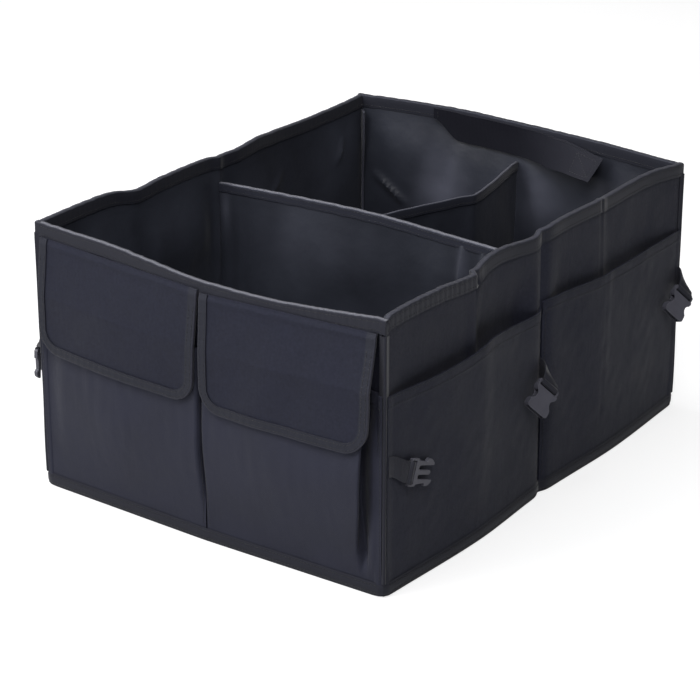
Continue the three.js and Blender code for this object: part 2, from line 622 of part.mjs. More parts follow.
// The webbing from its root in a seam to the eye round the bar. edge is the root's edge, away the way it
// leaves the seam.
function webbing(root, edge, away, seat) {
  const bar = new THREE.Vector3();
  const along = new THREE.Vector3();
  const face = new THREE.Vector3();
  seat.extractBasis(bar, along, face);
  const centre = new THREE.Vector3().setFromMatrixPosition(seat);
  const end = centre.clone().addScaledVector(along, -(EYE_IN + EYE_OUT) / 2);
  const reach = root.distanceTo(end) / 3;
  const line = new THREE.CubicBezierCurve3(root, root.clone().addScaledVector(away, reach),
    end.clone().addScaledVector(along, -reach), end);
  const turned = edge.dot(bar) < 0 ? edge.clone().negate() : edge;
  const halfWide = (WEB_W - GAP) / 2;
  const ribbon = sheet(steps(0, 1, 6), [-halfWide, halfWide], (u, side, w) => {
    const across = turned.clone().lerp(bar, smooth(u)).normalize();
    const thick = across.clone().cross(line.getTangent(u)).normalize();
    return line.getPoint(u).addScaledVector(across, side).addScaledVector(thick, (w - 0.5) * TAB_T);
  });
  const ring = new THREE.Shape().absarc(0, 0, EYE_OUT, 0, 2 * Math.PI);
  ring.holes.push(new THREE.Path().absarc(0, 0, EYE_IN, 0, 2 * Math.PI, true));
  const eye = new THREE.ExtrudeGeometry(ring, { depth: WEB_W, bevelEnabled: false, curveSegments: 7 });
  eye.translate(0, 0, -WEB_W / 2);
  eye.rotateY(Math.PI / 2);
  eye.applyMatrix4(seat);
  return geometryOf(solidOf(ribbon).add(solidOf(eye)));
}

// The frame of a buckle at its place on the right-hand side
function seatOf(wall, { y, z, off, length, bar }) {
  const across = new THREE.Vector3(...bar).normalize();
  const along = new THREE.Vector3(...length).projectOnPlane(across).normalize();
  const face = across.clone().cross(along);
  const seated = sidePocketOut(y, z) + CLOTH_T + GAP + EYE_OUT;
  const place = wall.at(y, z, seated + off);
  return new THREE.Matrix4().makeBasis(across, along, face).setPosition(Math.abs(place.x), y, z);
}

function mirrored(geometry, x) {
  return bent(geometry.clone(), (a, b, c) => new THREE.Vector3(x * a, b, c));
}

function buildBuckles() {
  const up = new THREE.Vector3(0, 0, 1);
  const outwards = new THREE.Vector3(1, 0, 0);
  const rearwards = new THREE.Vector3(0, 1, 0);
  const cornerOut = TAPE_OUT + 2 * GAP + TAB_T / 2;
  const cornerS = LENGTH / 2 - CORNER_TAPE_W / 2;
  for (const [side, x] of [["left", -1], ["right", 1]]) {
    const wall = sides[side];
    const male = side === "left" ? LEFT_MALE : RIGHT_MALE;
    const leaves = side === "left" ? outwards : rearwards;
    const rootOut = side === "left" ? TAPE_OUT + GAP : cornerOut;
    const places = [
      ["front", male, maleBuckle(), wall.at(-cornerS, male.rootZ, rootOut), leaves],
      ["middle", FEMALE_MIDDLE, femaleBuckle(), wall.at(0, FEMALE_MIDDLE.rootZ, GAP + CLOTH_T), outwards],
      ["rear", FEMALE_REAR, femaleBuckle(), wall.at(cornerS, FEMALE_REAR.rootZ, TAPE_OUT + GAP), outwards],
    ];
    for (const [end, place, buckle, root, away] of places) {
      const seat = seatOf(wall, place);
      const start = new THREE.Vector3(Math.abs(root.x), root.y, root.z);
      add(`${side}_${end}_webbing_tab`, mirrored(webbing(start, up, away, seat), x), tape);
      add(`${side}_${end}_buckle`, mirrored(buckle.applyMatrix4(seat), x), plastic);
    }
  }
}

// The carry strap is sewn under the rear rim at its left end and hangs free of the wall at its right end
const strapTop = wave([[-1, -2], [-0.6, -3], [0, -3], [0.5, -3], [1, -2]]);
const strapOff = wave([[-1, 0.6], [-0.3, 0.8], [0.3, 1], [0.7, 3], [1, 7]]);

function buildCarryStrap() {
  add("carry_strap", sheet(stations(STRAP_FROM, STRAP_TO), [STRAP_W, STRAP_W / 2, 0], (s, drop, w) => {
    const place = (2 * (s - STRAP_FROM)) / (STRAP_TO - STRAP_FROM) - 1;
    const top = rear.rim(s) + strapTop(place);
    return rear.at(s, top - drop, -(WALL_T + TAPE_OUT + GAP + strapOff(place) + (1 - w) * STRAP_T));
  }), tape);
}

buildFloor();
buildBoards();
buildWalls();
buildCornerTapes();
buildMiddleDivider();
buildSoftDivider();
buildFrontPockets();
buildFlaps();
buildSidePockets();
buildBuckles();
buildCarryStrap();

export default box;
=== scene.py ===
"""Dresses the folding car storage box: sewn cloth, lining, bindings, stitching and half buckles."""
import json
import math

import bpy
import numpy as np
from mathutils import Matrix, Vector


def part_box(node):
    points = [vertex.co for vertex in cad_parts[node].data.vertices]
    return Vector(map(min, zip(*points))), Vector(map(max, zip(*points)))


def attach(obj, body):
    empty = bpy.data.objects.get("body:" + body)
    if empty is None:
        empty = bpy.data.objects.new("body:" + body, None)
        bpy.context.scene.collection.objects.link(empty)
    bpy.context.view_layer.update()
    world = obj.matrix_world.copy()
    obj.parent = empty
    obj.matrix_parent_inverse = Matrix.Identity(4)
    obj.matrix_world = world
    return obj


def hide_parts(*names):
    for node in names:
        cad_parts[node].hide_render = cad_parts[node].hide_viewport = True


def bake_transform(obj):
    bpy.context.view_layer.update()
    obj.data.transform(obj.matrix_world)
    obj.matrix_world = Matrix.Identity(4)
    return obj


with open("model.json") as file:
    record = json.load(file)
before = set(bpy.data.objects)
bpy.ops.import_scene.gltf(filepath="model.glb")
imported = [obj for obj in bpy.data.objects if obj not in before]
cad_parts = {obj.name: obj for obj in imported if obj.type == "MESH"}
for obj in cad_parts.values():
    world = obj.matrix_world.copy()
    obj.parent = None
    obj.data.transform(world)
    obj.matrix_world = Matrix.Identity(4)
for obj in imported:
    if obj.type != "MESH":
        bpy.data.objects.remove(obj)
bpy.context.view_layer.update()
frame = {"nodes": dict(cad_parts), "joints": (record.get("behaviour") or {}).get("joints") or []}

# Sizes in millimetres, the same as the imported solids
MM = 0.001
WIDTH, LENGTH, HEIGHT = 388.0, 508.0, 260.0
CORNER_ROUND = 2.4
WALL_T, CLOTH_T, LINING_T, TAPE_T, STRAP_T = 4.0, 1.2, 0.7, 0.8, 1.8
FLOOR_T, BOARD_T, PATCH_T, GAP = 2.0, 3.0, 0.8, 0.3
RIM_TAPE_H, BASE_TAPE_H, DIVIDER_TAPE_H, FLAP_TAPE_W = 13.0, 13.0, 9.0, 9.0
POCKET_TOP, POCKET_MARGIN, CENTRE_SEAM = 190.0, 1.0, 0.9
POCKET_FILL_H = 90.0
MIDDLE = 3.0
FLAP_MARGIN, FLAP_CENTRE, FLAP_TAPER, FLAP_T, FLAP_H, FLAP_R = 6.5, 1.1, 0.03, 1.4, 102.0, 24.0
HINGE_OUT, FLAP_FLAT_H, FLAP_UNDER = 3.6, 13.0, 6.0
PATCH_W, PATCH_H, PATCH_RISE = 56.0, 20.0, 12.0
SIDE_POCKET_TOP, SIDE_POCKET_FILL, SIDE_SEAM = 189.0, 6.0, 1.6
SEAM_PINCH = 4.0
DIVIDER_H, DIVIDER_BOW, SOFT_DIVIDER_H = 235.0, 7.0, 222.0
WEB_W, TAB_T, EYE_IN, EYE_OUT = 19.6, 1.6, 2.25, 3.25
STRAP_W, STRAP_FROM, STRAP_TO, STRAP_END = 30.0, -100.0, 108.0, 70.0
WALL_BASE = FLOOR_T + GAP
TAPE_OUT = GAP + TAPE_T
POCKET_FOOT = 0.6
OVER_POCKET = POCKET_FOOT + CLOTH_T + 0.6

# Sizes of the sewing: spans of the dividers' covers and folds, pressed fold lines, tape turns and tabs
DIVIDER_SPAN, DIVIDER_DRAWN, DIVIDER_RIPPLE = 376.0, 233.0, 370.0
SOFT_SPAN, SOFT_RIPPLE, REAR_DEPTH = 252.0, 250.0, LENGTH / 2
FOLD_LINE, STEP_LINE = 101.5, -113.0
BASE_TURN, BEAD_R, SEAM_SHARE = 0.9, 1.6, 0.85
TAB_POINTS, TAB_INSET, TAB_HALF = 36, 2.5, (WEB_W - GAP) / 2

# How far each wall stands outside its straight line and how its rim waves, as (place, amount)
FRONT_TOP_OUT = [(-1, 0), (-0.96, 0), (-0.04, 7), (0.04, 7), (0.96, 0), (1, 0)]
FRONT_BASE_OUT = [(-1, 0), (-0.96, 0), (-0.04, 4), (0.04, 4), (0.96, 0), (1, 0)]
FRONT_RISE = [(-1, 4.5), (-0.8, 3), (-0.54, 2), (-0.3, -2), (0, -7), (0.4, -8.5), (0.63, -6), (0.96, -1),
              (1, -1)]
REAR_TOP_OUT = [(-1, 0), (-0.96, 0), (-0.5, 8), (0, 12), (0.5, 9), (0.96, 0), (1, 0)]
REAR_BASE_OUT = [(-1, 0), (-0.96, 0), (0, 4), (0.96, 0), (1, 0)]
REAR_RISE = [(-1, 2), (-0.7, 3.5), (-0.35, 4), (0, 2), (0.4, 0.5), (1, -1.5)]
RIGHT_TOP_OUT = [(-1, 0), (-0.96, 0), (-0.7, 1), (-0.47, 1.4), (-0.44, 0.6), (-0.36, -6), (-0.2, -7), (0, -2),
                 (0.15, -3), (0.4, -2), (0.46, -5), (0.75, -5), (0.96, 0), (1, 0)]
RIGHT_BASE_OUT = [(-1, 0), (-0.96, 0), (-0.45, 6), (0, 1), (0.5, 5), (0.96, 0), (1, 0)]
RIGHT_RISE = [(-1, -5), (-0.97, 1), (-0.7, 2), (-0.46, -2), (-0.28, 3), (-0.05, 0), (0.05, 4), (0.38, 4),
              (0.46, 2), (0.8, 3), (1, -1)]
LEFT_TOP_OUT = [(-1, 0), (-0.96, 0), (-0.58, 4), (-0.46, -4), (0, -2), (0.12, -7), (0.45, 0),
                (0.96, 0), (1, 0)]
LEFT_BASE_OUT = [(-1, 0), (-0.96, 0), (-0.5, 5), (0, 1), (0.5, 5), (0.96, 0), (1, 0)]
LEFT_RISE = [(-1, 4.5), (-0.86, 4.5), (-0.6, 2.5), (-0.48, -1), (-0.36, 1.5), (-0.1, 1.5), (0.05, 0),
             (0.25, 3), (0.37, 1), (0.6, -1), (0.85, 0), (1, 2)]
POCKETS = {
    "left": {"side": -1, "fill": (5.5, 10, 5), "drawn": 0.65, "fold": (20.7, 14.5), "pleat": False},
    "right": {"side": 1, "fill": (6.5, 14, 16), "drawn": 0.45, "fold": (23.4, 20.0), "pleat": True},
}
SOFT_DIVIDER_PATH = [(0, 0), (3, 0.07), (13, 0.24), (22, 0.45), (17, 0.5), (2, 0.65), (-12, 0.8), (-24, 0.93),
                     (-31, 1)]
MALE_LENGTH, HANGING_LENGTH, FEMALE_LENGTH = (0.05, 0.94, -0.34), (0.16, 0.1, -0.98), (-0.05, -0.77, -0.63)
WEBBINGS = {
    ("right", "front"): (MALE_LENGTH, 124.0), ("left", "front"): (HANGING_LENGTH, 148.0),
    ("right", "middle"): (FEMALE_LENGTH, 128.0), ("left", "middle"): (FEMALE_LENGTH, 128.0),
    ("right", "rear"): (FEMALE_LENGTH, 142.0), ("left", "rear"): (FEMALE_LENGTH, 142.0),
}


def clamp(x):
    return np.clip(x, 0.0, 1.0)


def smooth(x):
    x = clamp(x)
    return x * x * (3 - 2 * x)


def mix(a, b, t):
    return a + (b - a) * t


def wave(points):
    """A smooth line through (place, amount) points."""
    xs, ys = np.array(points, float).T
    before, after = np.maximum(np.arange(len(xs)) - 1, 0), np.minimum(np.arange(len(xs)) + 1, len(xs) - 1)
    slopes = (ys[after] - ys[before]) / (xs[after] - xs[before])

    def at(place):
        p = np.clip(place, -1, 1)
        i = np.clip(np.searchsorted(xs, p, side="right") - 1, 0, len(xs) - 2)
        span = xs[i + 1] - xs[i]
        t = (p - xs[i]) / span
        ends = ys[i] + (ys[i + 1] - ys[i]) * t * t * (3 - 2 * t)
        return ends + span * (slopes[i] * t * (1 - t) ** 2 - slopes[i + 1] * t * t * (1 - t))

    return at


def ripple(s, z, size, seed):
    """A soft random surface between about -1 and 1, with folds of about that size."""
    rng = np.random.RandomState(seed)
    total = np.zeros(np.broadcast(s, z).shape)
    for _ in range(7):
        angle, phase = rng.uniform(0, math.pi), rng.uniform(0, 2 * math.pi)
        k = 2 * math.pi / (size * rng.uniform(0.7, 1.6))
        total = total + np.sin(k * (s * math.cos(angle) + z * math.sin(angle)) + phase)
    return total / 3.5


def points_of(x, y, z):
    return np.stack(np.broadcast_arrays(x, y, z), axis=-1)


class Wall:
    """A wall: at(s, z, out) is the point at place s, height z and distance out from its outer face."""

    def __init__(self, half, top, base, rise, pinch, seed, point):
        self.half, self.pinch, self.seed, self.point = half, pinch, seed, point
        self.top, self.base, self.rise = wave(top), wave(base), wave(rise)

    def rim(self, s):
        return HEIGHT + self.rise(np.asarray(s, float) / self.half)

    def at(self, s, z, out):
        place = np.asarray(s, float) / self.half
        lean = mix(self.base(place), self.top(place), np.asarray(z, float) / HEIGHT)
        drawn = self.pinch * np.exp(-(np.abs(s) / 7.0) ** 1.5)
        near = smooth((np.abs(s) - self.half + 7.0) / 9.0) ** 2
        foot = CORNER_ROUND * near * (1 - smooth(np.asarray(z) / 40.0))
        return self.point(s, z, lean - drawn - foot + out)

    def ends(self, s):
        """0 at the wall's two ends and 1 away from them."""
        return smooth((self.half - np.abs(s)) / 30.0)


FRONT = Wall(WIDTH / 2, FRONT_TOP_OUT, FRONT_BASE_OUT, FRONT_RISE, 0.0, 3,
             lambda s, z, n: points_of(s, -LENGTH / 2 - n, z))
REAR = Wall(WIDTH / 2, REAR_TOP_OUT, REAR_BASE_OUT, REAR_RISE, 0.0, 5,
            lambda s, z, n: points_of(s, LENGTH / 2 + n, z))
RIGHT = Wall(LENGTH / 2, RIGHT_TOP_OUT, RIGHT_BASE_OUT, RIGHT_RISE, SEAM_PINCH, 7,
             lambda s, z, n: points_of(WIDTH / 2 + n, s, z))
LEFT = Wall(LENGTH / 2, LEFT_TOP_OUT, LEFT_BASE_OUT, LEFT_RISE, SEAM_PINCH, 9,
            lambda s, z, n: points_of(-WIDTH / 2 - n, s, z))
WALLS = {"front": FRONT, "rear": REAR, "left": LEFT, "right": RIGHT}
SIDES = {"left": LEFT, "right": RIGHT}


# Meshes

def build(name, verts, faces, charts, material, sharp=38.0):
    """A mesh object from millimetre points, faces, and each face's chart corners in millimetres."""
    corners = np.array([verts[list(f[:3])] for f in faces])
    last = np.array([verts[f[-1]] for f in faces])
    volume = np.einsum("ij,ij->", corners[:, 0], np.cross(corners[:, 1], corners[:, 2]))
    volume += np.einsum("ij,ij->", corners[:, 0], np.cross(corners[:, 2], last))
    if volume < 0:
        faces = [f[::-1] for f in faces]
        charts = [c[::-1] for c in charts]
    mesh = bpy.data.meshes.new(name)
    mesh.from_pydata((verts * MM).tolist(), [], faces)
    layer = mesh.uv_layers.new(name="UVMap")
    layer.data.foreach_set("uv", (np.concatenate(charts) * MM).ravel())
    mesh.shade_smooth()
    mesh.set_sharp_from_angle(angle=math.radians(sharp))
    mesh.materials.append(material)
    piece = bpy.data.objects.new(name, mesh)
    bpy.context.scene.collection.objects.link(piece)
    return piece


def shell(name, along, up, place, material, chart=None, painted_highlight=None):
    """A closed bent sheet: place(a, b, w) with w 0 on its inner face and 1 on its outer face."""
    a, b = np.meshgrid(np.asarray(along, float), np.asarray(up, float), indexing="ij")
    na, nb = a.shape
    verts = np.concatenate([place(a, b, w).reshape(-1, 3) for w in (0.0, 1.0)])
    u, v = chart(a, b) if chart else (a, b)
    flat = np.tile(np.stack([u, v], axis=-1).reshape(-1, 2), (2, 1))
    index = np.arange(na * nb).reshape(na, nb)
    quads = np.stack([index[:-1, :-1], index[1:, :-1], index[1:, 1:], index[:-1, 1:]], axis=-1).reshape(-1, 4)
    rim = np.concatenate([index[:, 0], index[-1, 1:], index[-2::-1, -1], index[0, -2:0:-1]])
    after = np.roll(rim, -1)
    size = na * nb
    sides = np.stack([after, rim, rim + size, after + size], axis=-1)
    faces = np.concatenate([quads[:, ::-1], quads + size, sides[:, ::-1]])
    piece = build(name, verts, [tuple(f) for f in faces.tolist()], list(flat[faces]), material)
    # Per-point amounts of painted highlight, which the lining's colour reads.
    if painted_highlight is not None:
        layer = piece.data.attributes.new("painted_highlight", "FLOAT", "POINT")
        layer.data.foreach_set("value", np.tile(painted_highlight(a, b).ravel(), 2))
    return piece


def run(name, section, along, place, material, sharp=38.0, spacing=None):
    """A closed section in (x, y) carried along: place(x, y, a)."""
    section = np.asarray(section, float)
    along = np.asarray(along, float)
    a, j = np.meshgrid(along, np.arange(len(section)), indexing="ij")
    grid = place(section[j, 0], section[j, 1], a)
    na, ns = a.shape
    verts = grid.reshape(-1, 3)
    length = np.concatenate([[0], np.cumsum(np.linalg.norm(np.roll(section, -1, 0) - section, axis=1))])
    steps = np.linalg.norm(np.diff(grid.mean(axis=1), axis=0), axis=1) if spacing is None else spacing
    travel = np.concatenate([[0], np.cumsum(steps)])
    index = np.arange(na * ns).reshape(na, ns)
    i, k = np.meshgrid(np.arange(na - 1), np.arange(ns), indexing="ij")
    k2 = (k + 1) % ns
    quads = np.stack([index[i, k], index[i + 1, k], index[i + 1, k2], index[i, k2]], axis=-1).reshape(-1, 4)
    chart = np.stack([
        np.stack([travel[i], length[k]], -1), np.stack([travel[i + 1], length[k]], -1),
        np.stack([travel[i + 1], length[k + 1]], -1), np.stack([travel[i], length[k + 1]], -1),
    ], axis=-2).reshape(-1, 4, 2)
    caps = [tuple(index[0].tolist()), tuple(index[-1, ::-1].tolist())]
    faces = [tuple(f) for f in quads.tolist()] + caps
    charts = list(chart) + [section, section[::-1]]
    return build(name, verts, faces, charts, material, sharp)


def dress(piece, body, slot, *nodes):
    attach(piece, body)
    if nodes:
        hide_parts(*nodes)
    return piece


def folded(thickness, depth, flare=0.0):
    """The section of a tape folded over an edge: x out from the piece's outer face, y above the crest."""
    half = (thickness + 2 * GAP + 2 * TAPE_T) / 2
    middle, crown = TAPE_OUT - half, 0.45
    outside = [(TAPE_OUT + flare * share, -depth * low)
               for share, low in ((1.0, 1.0), (0.6, 0.7), (0.1, 0.4))]
    arc = [(middle + half * math.copysign(abs(math.cos(t)) ** 0.7, math.cos(t)),
            half * crown * (math.sin(t) - 1)) for t in np.linspace(0, math.pi, 11)]
    back = [(middle - half, -0.5 * depth), (middle - half, -depth), (middle - half + TAPE_T, -depth),
            (middle - half + TAPE_T, -0.4 * depth)]
    inside = [(middle + (half - TAPE_T) * math.cos(t), half * crown * (math.sin(t) - 1) - TAPE_T)
              for t in np.linspace(math.pi, 0, 5)]
    return outside + arc + back + inside + [(x - TAPE_T, y) for x, y in outside[::-1]]


# Stitching

STITCHES = {}


def stitch(body, points, normals, pitch=3.4, length=2.4, radius=0.3):
    """Adds a row of stitches along points, lying on the surface with those normals."""
    points, normals = np.asarray(points, float), np.asarray(normals, float)
    d = np.concatenate([[0], np.cumsum(np.linalg.norm(np.diff(points, axis=0), axis=1))])
    count = max(1, int(d[-1] / pitch))
    at = (np.arange(count) + 0.5) * d[-1] / count
    centre = np.stack([np.interp(at, d, points[:, k]) for k in range(3)], -1)
    ahead = np.stack([np.interp(at + 1.0, d, points[:, k]) for k in range(3)], -1)
    behind = np.stack([np.interp(at - 1.0, d, points[:, k]) for k in range(3)], -1)
    along = ahead - behind
    along /= np.linalg.norm(along, axis=1, keepdims=True)
    up = np.stack([np.interp(at, d, normals[:, k]) for k in range(3)], -1)
    up -= along * np.sum(up * along, axis=1, keepdims=True)
    up /= np.linalg.norm(up, axis=1, keepdims=True)
    across = np.cross(along, up)
    rings = []
    for t, size, lift in ((-1, 0.35, -0.25), (-0.6, 0.95, 0.1), (0.6, 0.95, 0.1), (1, 0.35, -0.25)):
        for k in range(5):
            angle = 2 * math.pi * k / 5
            rings.append(centre + along * (t * length / 2) + across * (radius * size * math.cos(angle))
                         + up * (radius * (size * math.sin(angle) + lift)))
    STITCHES.setdefault(body, []).append(np.stack(rings, axis=1))


def stitch_wall(body, wall, s, z, out, facing=1):
    """Stitches on a wall at places s, heights z and distance out."""
    s, z = np.broadcast_arrays(np.asarray(s, float), np.asarray(z, float))
    here = wall.at(s, z, out)
    stitch(body, here, (wall.at(s, z, out + 1.0) - here) * facing)


def sew(material):
    """Makes one mesh of all the stitches on each body."""
    ring = [[k, (k + 1) % 5, 5 + (k + 1) % 5, 5 + k] for k in range(5)]
    pattern = [tuple(5 * r + i for i in quad) for r in range(3) for quad in ring]
    caps = [(4, 3, 2, 1, 0), (15, 16, 17, 18, 19)]
    for body, rows in STITCHES.items():
        verts = np.concatenate(rows).reshape(-1, 3)
        faces = []
        for start in range(0, len(verts), 20):
            faces += [tuple(start + i for i in f) for f in pattern + caps]
        charts = [verts[list(f)][:, :2] for f in faces]
        piece = build("stitching_" + body, verts, faces, charts, material, sharp=80.0)
        dress(piece, body, "tape")


# Materials

def srgb(*levels):
    """A colour written as 0 to 255 screen values, as the linear colour that shaders take."""
    return tuple(((c / 255 + 0.055) / 1.055) ** 2.4 if c > 10 else c / 255 / 12.92 for c in levels) + (1.0,)


class Look:
    """A node material on one Principled shader."""

    def __init__(self, name, roughness, sheen=0.0, specular=0.5, tint=(1.0, 1.0, 1.0, 1.0)):
        self.material = bpy.data.materials.new(name)
        self.material.use_nodes = True
        self.nodes = self.material.node_tree.nodes
        self.links = self.material.node_tree.links
        self.shader = self.nodes["Principled BSDF"]
        self.shader.inputs["Roughness"].default_value = roughness
        self.shader.inputs["Specular IOR Level"].default_value = specular
        self.shader.inputs["Sheen Weight"].default_value = sheen
        self.shader.inputs["Sheen Roughness"].default_value = 0.4
        self.shader.inputs["Specular Tint"].default_value = tint
        self.object = self.nodes.new("ShaderNodeTexCoord").outputs["Object"]
        split = self.nodes.new("ShaderNodeSeparateXYZ")
        self.links.new(self.nodes.new("ShaderNodeUVMap").outputs["UV"], split.inputs[0])
        self.u, self.v = split.outputs[0], split.outputs[1]

    def put(self, value, socket):
        if isinstance(value, (int, float, tuple)):
            socket.default_value = value
        else:
            self.links.new(value, socket)

    def math(self, operation, a, b=0.0):
        node = self.nodes.new("ShaderNodeMath")
        node.operation = operation
        self.put(a, node.inputs[0])
        self.put(b, node.inputs[1])
        return node.outputs[0]

    def noise(self, scale, detail=3.0, vector=None, roughness=0.5):
        node = self.nodes.new("ShaderNodeTexNoise")
        node.inputs["Scale"].default_value = scale
        node.inputs["Detail"].default_value = detail
        node.inputs["Roughness"].default_value = roughness
        self.links.new(vector or self.object, node.inputs["Vector"])
        return node.outputs["Fac"]

    def span(self, value, low, high, to_low=0.0, to_high=1.0):
        node = self.nodes.new("ShaderNodeMapRange")
        for socket, number in zip(node.inputs, (value, low, high, to_low, to_high)):
            self.put(number, socket)
        return node.outputs[0]

    def colours(self, factor, dark, light):
        node = self.nodes.new("ShaderNodeMix")
        node.data_type = "RGBA"
        self.put(factor, node.inputs["Factor"])
        self.put(dark, node.inputs[6])
        self.put(light, node.inputs[7])
        return node.outputs[2]

    def bump(self, height, distance, strength, before=None):
        node = self.nodes.new("ShaderNodeBump")
        node.inputs["Distance"].default_value = distance
        node.inputs["Strength"].default_value = strength
        self.links.new(height, node.inputs["Height"])
        if before:
            self.links.new(before, node.inputs["Normal"])
        return node.outputs[0]

    def finish(self, colour, normal, roughness=None):
        self.put(colour, self.shader.inputs["Base Color"])
        self.links.new(normal, self.shader.inputs["Normal"])
        if roughness is not None:
            self.links.new(roughness, self.shader.inputs["Roughness"])
        return self.material

    def weave(self, period):
        """Heights of a plain weave on the chart, and which thread lies on top."""
        a, b = self.math("DIVIDE", self.u, period), self.math("DIVIDE", self.v, period)
        crown_a = self.math("SINE", self.math("MULTIPLY", self.math("FRACT", a), math.pi))
        crown_b = self.math("SINE", self.math("MULTIPLY", self.math("FRACT", b), math.pi))
        over = self.math("MODULO", self.math("ADD", self.math("FLOOR", a), self.math("FLOOR", b)), 2.0)
        over = self.math("ABSOLUTE", over)
        pillow = self.math("POWER", self.math("MAXIMUM", self.math("MULTIPLY", crown_a, crown_b), 0.0), 0.5)
        return pillow, over


def cloth_look(name, dark, light, grain=0.5):
    look = Look(name, 0.62, sheen=0.1, specular=0.45, tint=(0.7, 0.75, 1.0, 1.0))
    height, over = look.weave(0.00085)
    worn = look.noise(28.0, 4.0)
    thread = look.math("ADD", look.math("MULTIPLY", height, 0.45), look.math("MULTIPLY", over, 0.2))
    shade = look.math("ADD", thread, look.math("MULTIPLY", worn, 0.45))
    slub = look.math("SUBTRACT", look.noise(420.0, 2.0), 0.5)
    shade = look.math("ADD", shade, look.math("MULTIPLY", slub, grain))
    colour = look.colours(look.span(shade, 0.25, 0.95), dark, light)
    ribs = look.nodes.new("ShaderNodeCombineXYZ")
    look.put(look.math("MULTIPLY", look.u, 260.0), ribs.inputs[0])
    look.put(look.math("MULTIPLY", look.v, 22.0), ribs.inputs[1])
    soft = look.bump(look.noise(55.0, 3.0), 0.0016, 0.35)
    soft = look.bump(look.noise(1.0, 2.0, ribs.outputs[0]), 0.0004, 0.4, soft)
    normal = look.bump(height, 0.00022, 0.55, soft)
    return look.finish(colour, normal, look.span(worn, 0.3, 0.7, 0.54, 0.7))


def lining_look():
    look = Look("coated_lining", 0.4, sheen=0.05, specular=0.55)
    painted_highlight = look.nodes.new("ShaderNodeAttribute")
    painted_highlight.attribute_name = "painted_highlight"
    height = look.weave(0.0006)[0]
    cloud = look.noise(9.0, 3.0)
    colour = look.colours(look.span(cloud, 0.3, 0.7), srgb(35, 37, 45), srgb(58, 61, 72))
    # Painted highlights: the lining's colour is mixed towards a pale blue-grey where the painted highlight
    # amount is high.
    colour = look.colours(painted_highlight.outputs["Fac"], colour, srgb(98, 100, 114))
    soft = look.bump(look.noise(34.0, 3.0), 0.0035, 0.35)
    normal = look.bump(height, 0.0001, 0.3, soft)
    return look.finish(colour, normal, look.span(cloud, 0.3, 0.7, 0.34, 0.48))


def tape_look(name, period, light, relief, crest=None, start=0.0, wide=0.0, shine=1.0):
    """Ribbed tape: the ribs run across it. Its crest, from start over wide millimetres, gets a painted
    highlight.
    """
    look = Look(name, 0.58, sheen=0.2 * shine, specular=0.5 * shine, tint=(0.8, 0.84, 1.0, 1.0))
    ribs = look.math("ABSOLUTE", look.math("SINE", look.math("MULTIPLY", look.u, math.pi / period)))
    grain = look.noise(900.0, 2.0)
    height = look.math("ADD", ribs, look.math("MULTIPLY", grain, 0.35))
    colour = look.colours(look.span(height, 0.0, 1.3), srgb(24, 24, 30), light)
    # Painted highlight along the tape's crest.
    if crest:
        on = look.math("MULTIPLY", look.span(look.v, (start - 0.7) * MM, (start + 0.3) * MM),
                       look.span(look.v, (start + wide - 0.3) * MM, (start + wide + 0.7) * MM, 1.0, 0.0))
        colour = look.colours(on, colour, crest)
    normal = look.bump(height, 0.0003, relief)
    return look.finish(colour, normal)


def fastener_look():
    look = Look("hook_and_loop", 0.9, sheen=0.3, specular=0.2)
    pile = look.noise(1400.0, 3.0, roughness=0.7)
    colour = look.colours(pile, srgb(14, 14, 17), srgb(34, 34, 38))
    return look.finish(colour, look.bump(pile, 0.0006, 0.8))


def thread_look():
    look = Look("sewing_thread", 0.5, sheen=0.2)
    twist = look.noise(3000.0, 1.0)
    return look.finish(look.colours(twist, srgb(14, 14, 18), srgb(40, 40, 46)), look.bump(twist, 0.0001, 0.5))


def plastic_look():
    look = Look("satin_plastic", 0.34, specular=0.5)
    grain = look.noise(1600.0, 3.0)
    colour = look.colours(look.noise(120.0), srgb(80, 80, 90), srgb(98, 98, 108))
    return look.finish(colour, look.bump(grain, 0.00005, 0.25), look.span(grain, 0.3, 0.7, 0.3, 0.42))


# One oxford cloth in three tones: the flaps' copy is painted darker as painted shade, and the pockets' copy
# paler as painted light.
CLOTH = cloth_look("oxford_cloth", srgb(19, 19, 28), srgb(42, 43, 56), 1.0)
FLAP_CLOTH = cloth_look("oxford_cloth_flaps", srgb(16, 16, 26), srgb(36, 37, 51), 0.8)
POCKET_CLOTH = cloth_look("oxford_cloth_pockets", srgb(26, 26, 35), srgb(54, 55, 69), 0.2)
LINING = lining_look()
TAPE_RIB, WEB_RIB = 0.0011, 0.0016
# Where each tape's painted crest highlight starts and how wide it is; the crest colours below are painted
# highlights, strongest on the front rim and the middle divider, faint on the side and rear rims.
RIM_CREST, DIVIDER_CREST = (RIM_TAPE_H + 0.2, 2.6), (DIVIDER_TAPE_H + 0.2, 2.6)
SOFT_CREST, FLAP_CREST = (DIVIDER_TAPE_H - 0.2, 1.8), (FLAP_TAPE_W - 0.6, 1.6)
# One ribbed tape in several tones: painted paler inside the box, on the dividers and the corner seam fins,
# and darker on the flaps, as painted light and shade.
TAPE = tape_look("ribbed_tape", TAPE_RIB, srgb(36, 36, 46), 0.25)
FRONT_TAPE = tape_look("front_rim_tape", TAPE_RIB, srgb(34, 34, 44), 0.25, srgb(104, 104, 112), *RIM_CREST)
RIM_TAPE = tape_look("rim_tape", TAPE_RIB, srgb(40, 41, 51), 0.25, srgb(46, 46, 56), *RIM_CREST)
DIVIDER_TAPE = tape_look("divider_tape", TAPE_RIB, srgb(52, 54, 67), 0.2, srgb(110, 110, 118), *DIVIDER_CREST)
SOFT_TAPE = tape_look("soft_divider_tape", TAPE_RIB, srgb(44, 46, 58), 0.2, srgb(72, 72, 82), *SOFT_CREST)
FLAP_TAPE = tape_look("flap_tape", TAPE_RIB, srgb(31, 32, 43), 0.25, srgb(52, 52, 62), *FLAP_CREST)
